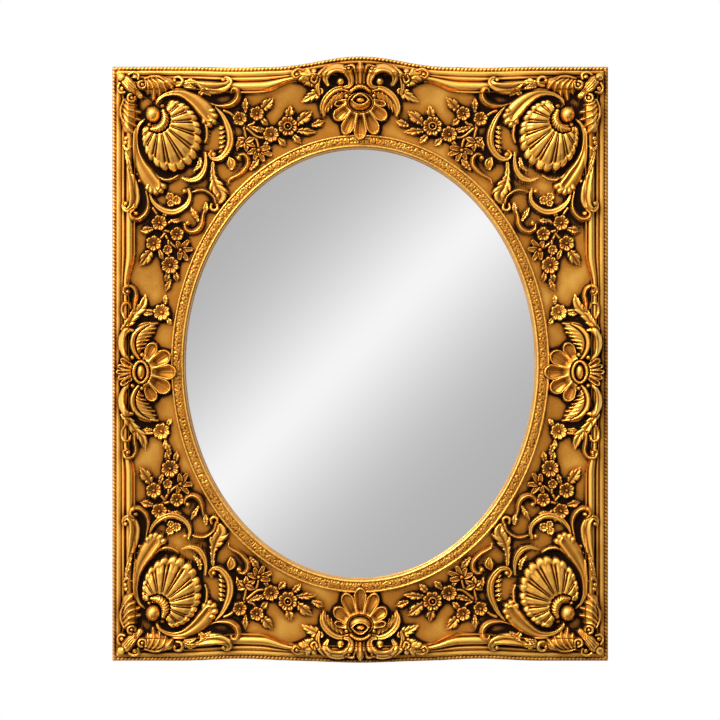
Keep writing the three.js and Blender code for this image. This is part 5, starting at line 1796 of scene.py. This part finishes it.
@dataclass
class Screws:
    """Slotted pan-head screws of the buttons and strap plates.

    Attributes:
        materials: Materials by finish.
        head: Radius and height of the head.
        shank: Radius of the shank.
        straight: Length of the shank before its point.
        length: Length under the head.
        slot: Length, width and depth of the cutter for the slot.
        turn: How far each next slot is turned.
    """

    materials: Materials
    head: Point = (3.6, 1.9)
    shank: float = 1.7
    straight: float = 9.6
    length: float = 12.0
    slot: Place = (8.0, 1.8, 0.9)
    turn: float = 0.7

    def model(self) -> bpy.types.Object:
        """Builds one screw.

        Returns:
            The screw, to copy.
        """
        radius, rise = self.head
        dome = [(radius * math.sin(t), -rise * math.cos(t) ** 0.6 if t < 1.57 else 0.0)
                for t in np.linspace(0, np.pi / 2, 9)]
        made = revolved("screw", [*dome, (self.shank, 0.0), (self.shank, self.straight), (0.0, self.length)],
                        32)
        cutter = primitive_object("slot", lambda: bpy.ops.mesh.primitive_cube_add(size=1))
        length, width, depth = self.slot
        cutter.data.transform(Matrix.Diagonal((length * MM, width * MM, depth * MM, 1)))
        cutter.data.transform(Matrix.Translation((0, -(STANDOFF - 2.1) * MM, 0)))
        slot = made.modifiers.new("slot", "BOOLEAN")
        slot.object, slot.operation, slot.solver = cutter, "DIFFERENCE", "EXACT"
        apply_modifiers(made)
        bpy.data.objects.remove(cutter)
        return made

    def build(self) -> None:
        """Sets a screw over each of the frame's."""
        model = self.model()
        for index, node in enumerate(nodes_with("screw")):
            top = -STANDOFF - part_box(node)[1].y / MM
            place = (*middle_of(node), top + self.head[1])
            screw = placed_copy(model, f"turned_{node}", place, self.turn * index)
            give(screw, self.materials, "steel", body_of_node(node), node)
        bpy.data.objects.remove(model)


@dataclass
class TurnButtons:
    """Tapered turn buttons that hold the back board in.

    Attributes:
        materials: Materials by finish.
        count: Number of buttons.
        hub: Radius about the screw.
        tip: Radius of the tip.
        reach: Distance of the tip from the screw.
        thickness: Thickness.
        bevel: Width of the rounded edges.
        beyond: Distance of the screws outside the sight edge.
        level: Height that the middle of a button lies at.
    """

    materials: Materials
    count: int = 6
    hub: float = 7.0
    tip: float = 5.0
    reach: float = 22.0
    thickness: float = 2.5
    bevel: float = 0.5
    beyond: float = 20.0
    level: float = 6.75

    def disc(self, name: str, sides: int, radius: float) -> bpy.types.Object:
        """One round end of a button.

        Args:
            name: Its name.
            sides: Points round it.
            radius: Its radius.

        Returns:
            The disc.
        """
        return primitive_object(name, lambda: bpy.ops.mesh.primitive_cylinder_add(
            vertices=sides, radius=radius * MM, depth=self.thickness * MM, location=(0, 0, 0)))

    def model(self) -> bpy.types.Object:
        """Builds one button as the hull of its two round ends.

        Returns:
            The button, to copy.
        """
        made, tip = self.disc("button", 48, self.hub), self.disc("tip", 36, self.tip)
        tip.data.transform(Matrix.Translation((self.reach * MM, 0, 0)))
        select_only(made, tip)
        bpy.ops.object.join()
        bpy.ops.object.mode_set(mode="EDIT")
        bpy.ops.mesh.select_all(action="SELECT")
        bpy.ops.mesh.convex_hull()
        bpy.ops.object.mode_set(mode="OBJECT")
        made.data.transform(Matrix.Rotation(math.pi / 2, 4, "X"))
        bevel = made.modifiers.new("bevel", "BEVEL")
        bevel.width, bevel.segments, bevel.limit_method = self.bevel * MM, 3, "ANGLE"
        apply_modifiers(made)
        made.data.transform(Matrix.Translation((0, -STANDOFF * MM, 0)))
        select_only(made)
        bpy.ops.object.shade_smooth_by_angle(angle=math.radians(35))
        return made

    def build(self) -> None:
        """Sets a button at each pivot, pointing at the board."""
        model = self.model()
        for i in range(self.count):
            angle = (i + 0.5) * np.pi / 3
            nx, ny = math.cos(angle) / SIGHT_X, math.sin(angle) / SIGHT_Y
            size = math.hypot(nx, ny)
            x = SIGHT_X * math.cos(angle) + self.beyond * nx / size
            y = SIGHT_Y * math.sin(angle) + self.beyond * ny / size
            node = f"turn_button_{i + 1}"
            button = placed_copy(model, f"pressed_{node}", (x, y, self.level), math.atan2(-ny, -nx))
            give(button, self.materials, "steel", body_of_node(node), node)
        bpy.data.objects.remove(model)


@dataclass
class HangingRings:
    """D-rings of round wire.

    Attributes:
        materials: Materials by finish.
        place: Distance of their hinges from the middle, to the side and up.
        wire: Radius of the wire.
        bend: Radius of the corners beside the hinge.
        bow: Radius of the bow.
        drop: Distance from the hinge to the middle of the bow.
        level: Height of the middle of the wire.
    """

    materials: Materials
    place: Point = (272.0, 150.0)
    wire: float = 1.5
    bend: float = 2.0
    bow: float = 9.0
    drop: float = 8.0
    level: float = -3.3

    def path(self) -> Array:
        """Middle line of the wire.

        Returns:
            Rows of places across and up from the hinge, whose last is its first.
        """
        corner, arch = np.linspace(0, np.pi / 2, 7), np.linspace(0, np.pi, 33)
        straight = self.bow - self.bend
        line = [(straight + self.bend * math.sin(t), self.bend * math.cos(t) - self.bend) for t in corner]
        line += [(self.bow * math.cos(t), -self.drop - self.bow * math.sin(t)) for t in arch]
        line += [(-straight - self.bend * math.cos(t), self.bend * math.sin(t) - self.bend) for t in corner]
        return np.array([*line, line[0]])

    def build(self) -> None:
        """Builds a ring in each strap."""
        path = self.path()
        ahead, behind = np.roll(path[:-1], -1, axis=0), np.roll(path[:-1], 1, axis=0)
        side = np.stack([(behind - ahead)[:, 1], (ahead - behind)[:, 0]], axis=1)
        side /= np.hypot(*side.T)[:, None]
        side = np.concatenate([side, side[:1]])
        angles = np.linspace(0, 2 * np.pi, 17)[None, :]
        for horizontal, right in (("left", -1), ("right", 1)):
            across = right * self.place[0] + path[:, :1] + side[:, :1] * self.wire * np.cos(angles)
            up = self.place[1] + path[:, 1:] + side[:, 1:] * self.wire * np.cos(angles)
            out = self.level + self.wire * np.sin(angles) + 0 * across
            ring = lattice(f"wire_ring_{horizontal}", np.stack([across, up, out], axis=-1), wrap=True)
            outward_faces(ring)
            node = f"hanger_ring_{horizontal}"
            give(ring, self.materials, "steel", body_of_node(node), node)


@dataclass
class WallPads:
    """Round pads that rest on the wall.

    Attributes:
        materials: Materials by finish.
        radius: Radius of a pad.
        rounding: Radius of its rounded edge.
        height: Its height.
    """

    materials: Materials
    radius: float = 7.0
    rounding: float = 1.0
    height: float = 6.7

    def build(self) -> None:
        """Builds one pad and sets its copies."""
        flat = self.radius - self.rounding
        rim = [(flat + self.rounding * math.sin(t), self.rounding - self.rounding * math.cos(t))
               for t in np.linspace(0, np.pi / 2, 6)]
        model = revolved("pad", [(0, 0), *rim, (self.radius, self.height), (0, self.height)], 40)
        for node in nodes_with("pad"):
            pad = placed_copy(model, f"felt_{node}", (*middle_of(node), -STANDOFF))
            give(pad, self.materials, "wall_pad", body_of_node(node), node)
        bpy.data.objects.remove(model)


def apply_modifiers(piece: bpy.types.Object) -> None:
    """Applies every modifier of a piece.

    Args:
        piece: The piece.
    """
    select_only(piece)
    for modifier in list(piece.modifiers):
        bpy.ops.object.modifier_apply(modifier=modifier.name)


# ---------------------------------------------------------------- studio


@dataclass
class Studio:
    """Camera, lamps, floor and the cards that the gold and the glass reflect, in metres.

    Attributes:
        eye: Place of the camera.
        lens: Its focal length in millimetres.
        sensor: Width of its sensor in millimetres.
        floor_level: Height of the floor.
        floor_radius: Radius of the floor.
    """

    eye: Place = (-0.0003, -2.37, 0.0044)
    lens: float = 100.0
    sensor: float = 36.0
    floor_level: float = -0.9
    floor_radius: float = 2.4

    def camera(self) -> None:
        """Sets the camera straight in front."""
        data = bpy.data.cameras.new("camera")
        data.lens, data.sensor_width, data.dof.use_dof = self.lens, self.sensor, False
        eye = bpy.data.objects.new("camera", data)
        bpy.context.scene.collection.objects.link(eye)
        eye.location = self.eye
        eye.rotation_euler = (math.pi / 2, 0, 0)
        bpy.context.scene.camera = eye

    def world(self) -> None:
        """White to the camera and to reflections, grey as a source of light."""
        world = bpy.data.worlds.new("world")
        world.use_nodes = True
        tree = world.node_tree
        path = tree.nodes.new("ShaderNodeLightPath").outputs
        more = math_node(tree, "MAXIMUM", path["Is Glossy Ray"], path["Is Transmission Ray"])
        seen = math_node(tree, "MAXIMUM", path["Is Camera Ray"], more)
        tree.links.new(mix_colour(tree, seen, (0.5, 0.5, 0.5), (1.0, 1.0, 1.0)),
                       tree.nodes["Background"].inputs["Color"])
        tree.nodes["Background"].inputs["Strength"].default_value = 1.0
        bpy.context.scene.world = world

    def lamp(self, name: str, place: Place, size: float, power: float, mirrored: bool) -> None:
        """Adds a soft square lamp that faces the mirror.

        Args:
            name: Its name.
            place: Where it stands.
            size: Length of its edge.
            power: Its power in watts.
            mirrored: True where reflections show it.
        """
        data = bpy.data.lights.new(name, "AREA")
        data.size, data.energy = size, power
        lamp = bpy.data.objects.new(name, data)
        bpy.context.scene.collection.objects.link(lamp)
        lamp.location = place
        lamp.rotation_euler = (-Vector(place)).to_track_quat("-Z", "Y").to_euler()
        lamp.visible_glossy = mirrored

    def card(self, name: str, place: Place, size: Point, level: float) -> bpy.types.Object:
        """Adds a plain card that only reflections see.

        Args:
            name: Its name.
            place: Where it stands.
            size: Its width and height.
            level: Its brightness.

        Returns:
            The card.
        """
        card = primitive_object(name, lambda: bpy.ops.mesh.primitive_plane_add(size=1))
        turn = (-Vector(place)).to_track_quat("Z", "Y").to_matrix().to_4x4()
        card.data.transform(turn @ Matrix.Diagonal((*size, 1, 1)))
        card.location = place
        material, tree, shader = new_material(name)
        tree.nodes.remove(shader)
        glow = tree.nodes.new("ShaderNodeEmission")
        glow.inputs["Color"].default_value = (level, level, level, 1)
        tree.links.new(glow.outputs[0], tree.nodes["Material Output"].inputs["Surface"])
        card.data.materials.append(material)
        card.visible_camera = card.visible_diffuse = card.visible_shadow = card.visible_transmission = False
        return card

    def front_card(self) -> None:
        """Card behind the camera with the soft slanting band that the glass shows."""
        card = self.card("front_card", (0, -3.2, 0), (3.6, 3.6), 0.5)
        tree = card.data.materials[0].node_tree
        place = tree.nodes.new("ShaderNodeTexCoord")
        split = tree.nodes.new("ShaderNodeSeparateXYZ")
        tree.links.new(place.outputs["Object"], split.inputs[0])
        # Reflected size of a millimetre of the glass on the card, across and up
        across = math_node(tree, "MULTIPLY", split.outputs["X"], 1000 / 5.76)
        up = math_node(tree, "MULTIPLY", split.outputs["Z"], 1000 / 4.65)
        slant = math_node(tree, "ADD", math_node(tree, "SUBTRACT", across, up), 22.0)
        share = math_node(tree, "DIVIDE", math_node(tree, "ABSOLUTE", slant, 0.0), 150.0)
        fall = math_node(tree, "MULTIPLY", math_node(tree, "POWER", share, 1.6), -1.0)
        peak = math_node(tree, "EXPONENT", fall, 0.0)
        level = math_node(tree, "ADD", math_node(tree, "MULTIPLY", peak, 0.53), 0.48)
        glow = next(n for n in tree.nodes if n.type == "EMISSION")
        glow.inputs["Color"].default_value = (1, 1, 1, 1)
        tree.links.new(level, glow.inputs["Strength"])

    def floor(self) -> None:
        """Lays a plain pale floor below the mirror."""
        floor = primitive_object("floor", lambda: bpy.ops.mesh.primitive_circle_add(
            vertices=96, radius=self.floor_radius, fill_type="NGON", location=(0, 0, 0)))
        floor.location = (0, 0, self.floor_level)
        material, _, shader = new_material("floor")
        shader.inputs["Base Color"].default_value = (0.86, 0.86, 0.86, 1)
        shader.inputs["Roughness"].default_value = 0.9
        floor.data.materials.append(material)
        floor.visible_glossy = False

    def build(self) -> None:
        """Sets up all but the camera."""
        self.world()
        self.floor()
        self.lamp("key", (-1.5, -1.9, 2.0), 1.0, 105, True)
        self.lamp("fill", (1.9, -2.4, 0.4), 2.0, 16, False)
        self.front_card()
        self.card("right_card", (2.6, -0.9, -0.2), (2.6, 3.6), 0.05)
        self.card("low_card", (0.3, -1.0, -2.2), (4.4, 2.6), 0.04)
        self.card("left_card", (-2.6, -1.0, 0.4), (1.6, 2.2), 1.5)
        self.card("high_card", (-0.6, -1.2, 2.6), (2.6, 1.6), 1.7)
        self.card("far_right_card", (2.2, -2.6, -0.4), (1.4, 3.0), 0.10)


# ---------------------------------------------------------------- whole


def dress_rest(materials: Materials) -> None:
    """Gives every solid that is still shown its material.

    Args:
        materials: Materials by finish.
    """
    by_word = {"board": "board", "packing": "felt"}
    for name, node in frame["nodes"].items():
        if node.hide_render:
            continue
        finish = next((slot for word, slot in by_word.items() if word in name), "steel")
        node.data.materials.clear()
        node.data.materials.append(materials[finish])
        LOG.info("%s keeps its solid in %s", name, finish)


def main() -> None:
    """Builds and dresses the mirror in its studio."""
    logging.basicConfig(level=logging.INFO, format="%(message)s")
    studio = Studio()
    studio.camera()
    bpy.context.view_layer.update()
    materials = {finish.name: finish.build() for finish in (GILT, DARK_GILT, GLASS, FELT, BOARD, STEEL, PAD)}
    carver = Carver()
    woodwork = Woodwork(Face(carver), materials)
    woodwork.rails()
    woodwork.panel()
    woodwork.ring()
    for ornament in carver.ornaments():
        ornament.build(materials)
    Mirror(materials).build()
    for hardware in (Screws, TurnButtons, HangingRings, WallPads):
        hardware(materials).build()
    dress_rest(materials)
    studio.build()
    bpy.context.scene.view_settings.view_transform = "Standard"


if __name__ == "__main__":
    main()
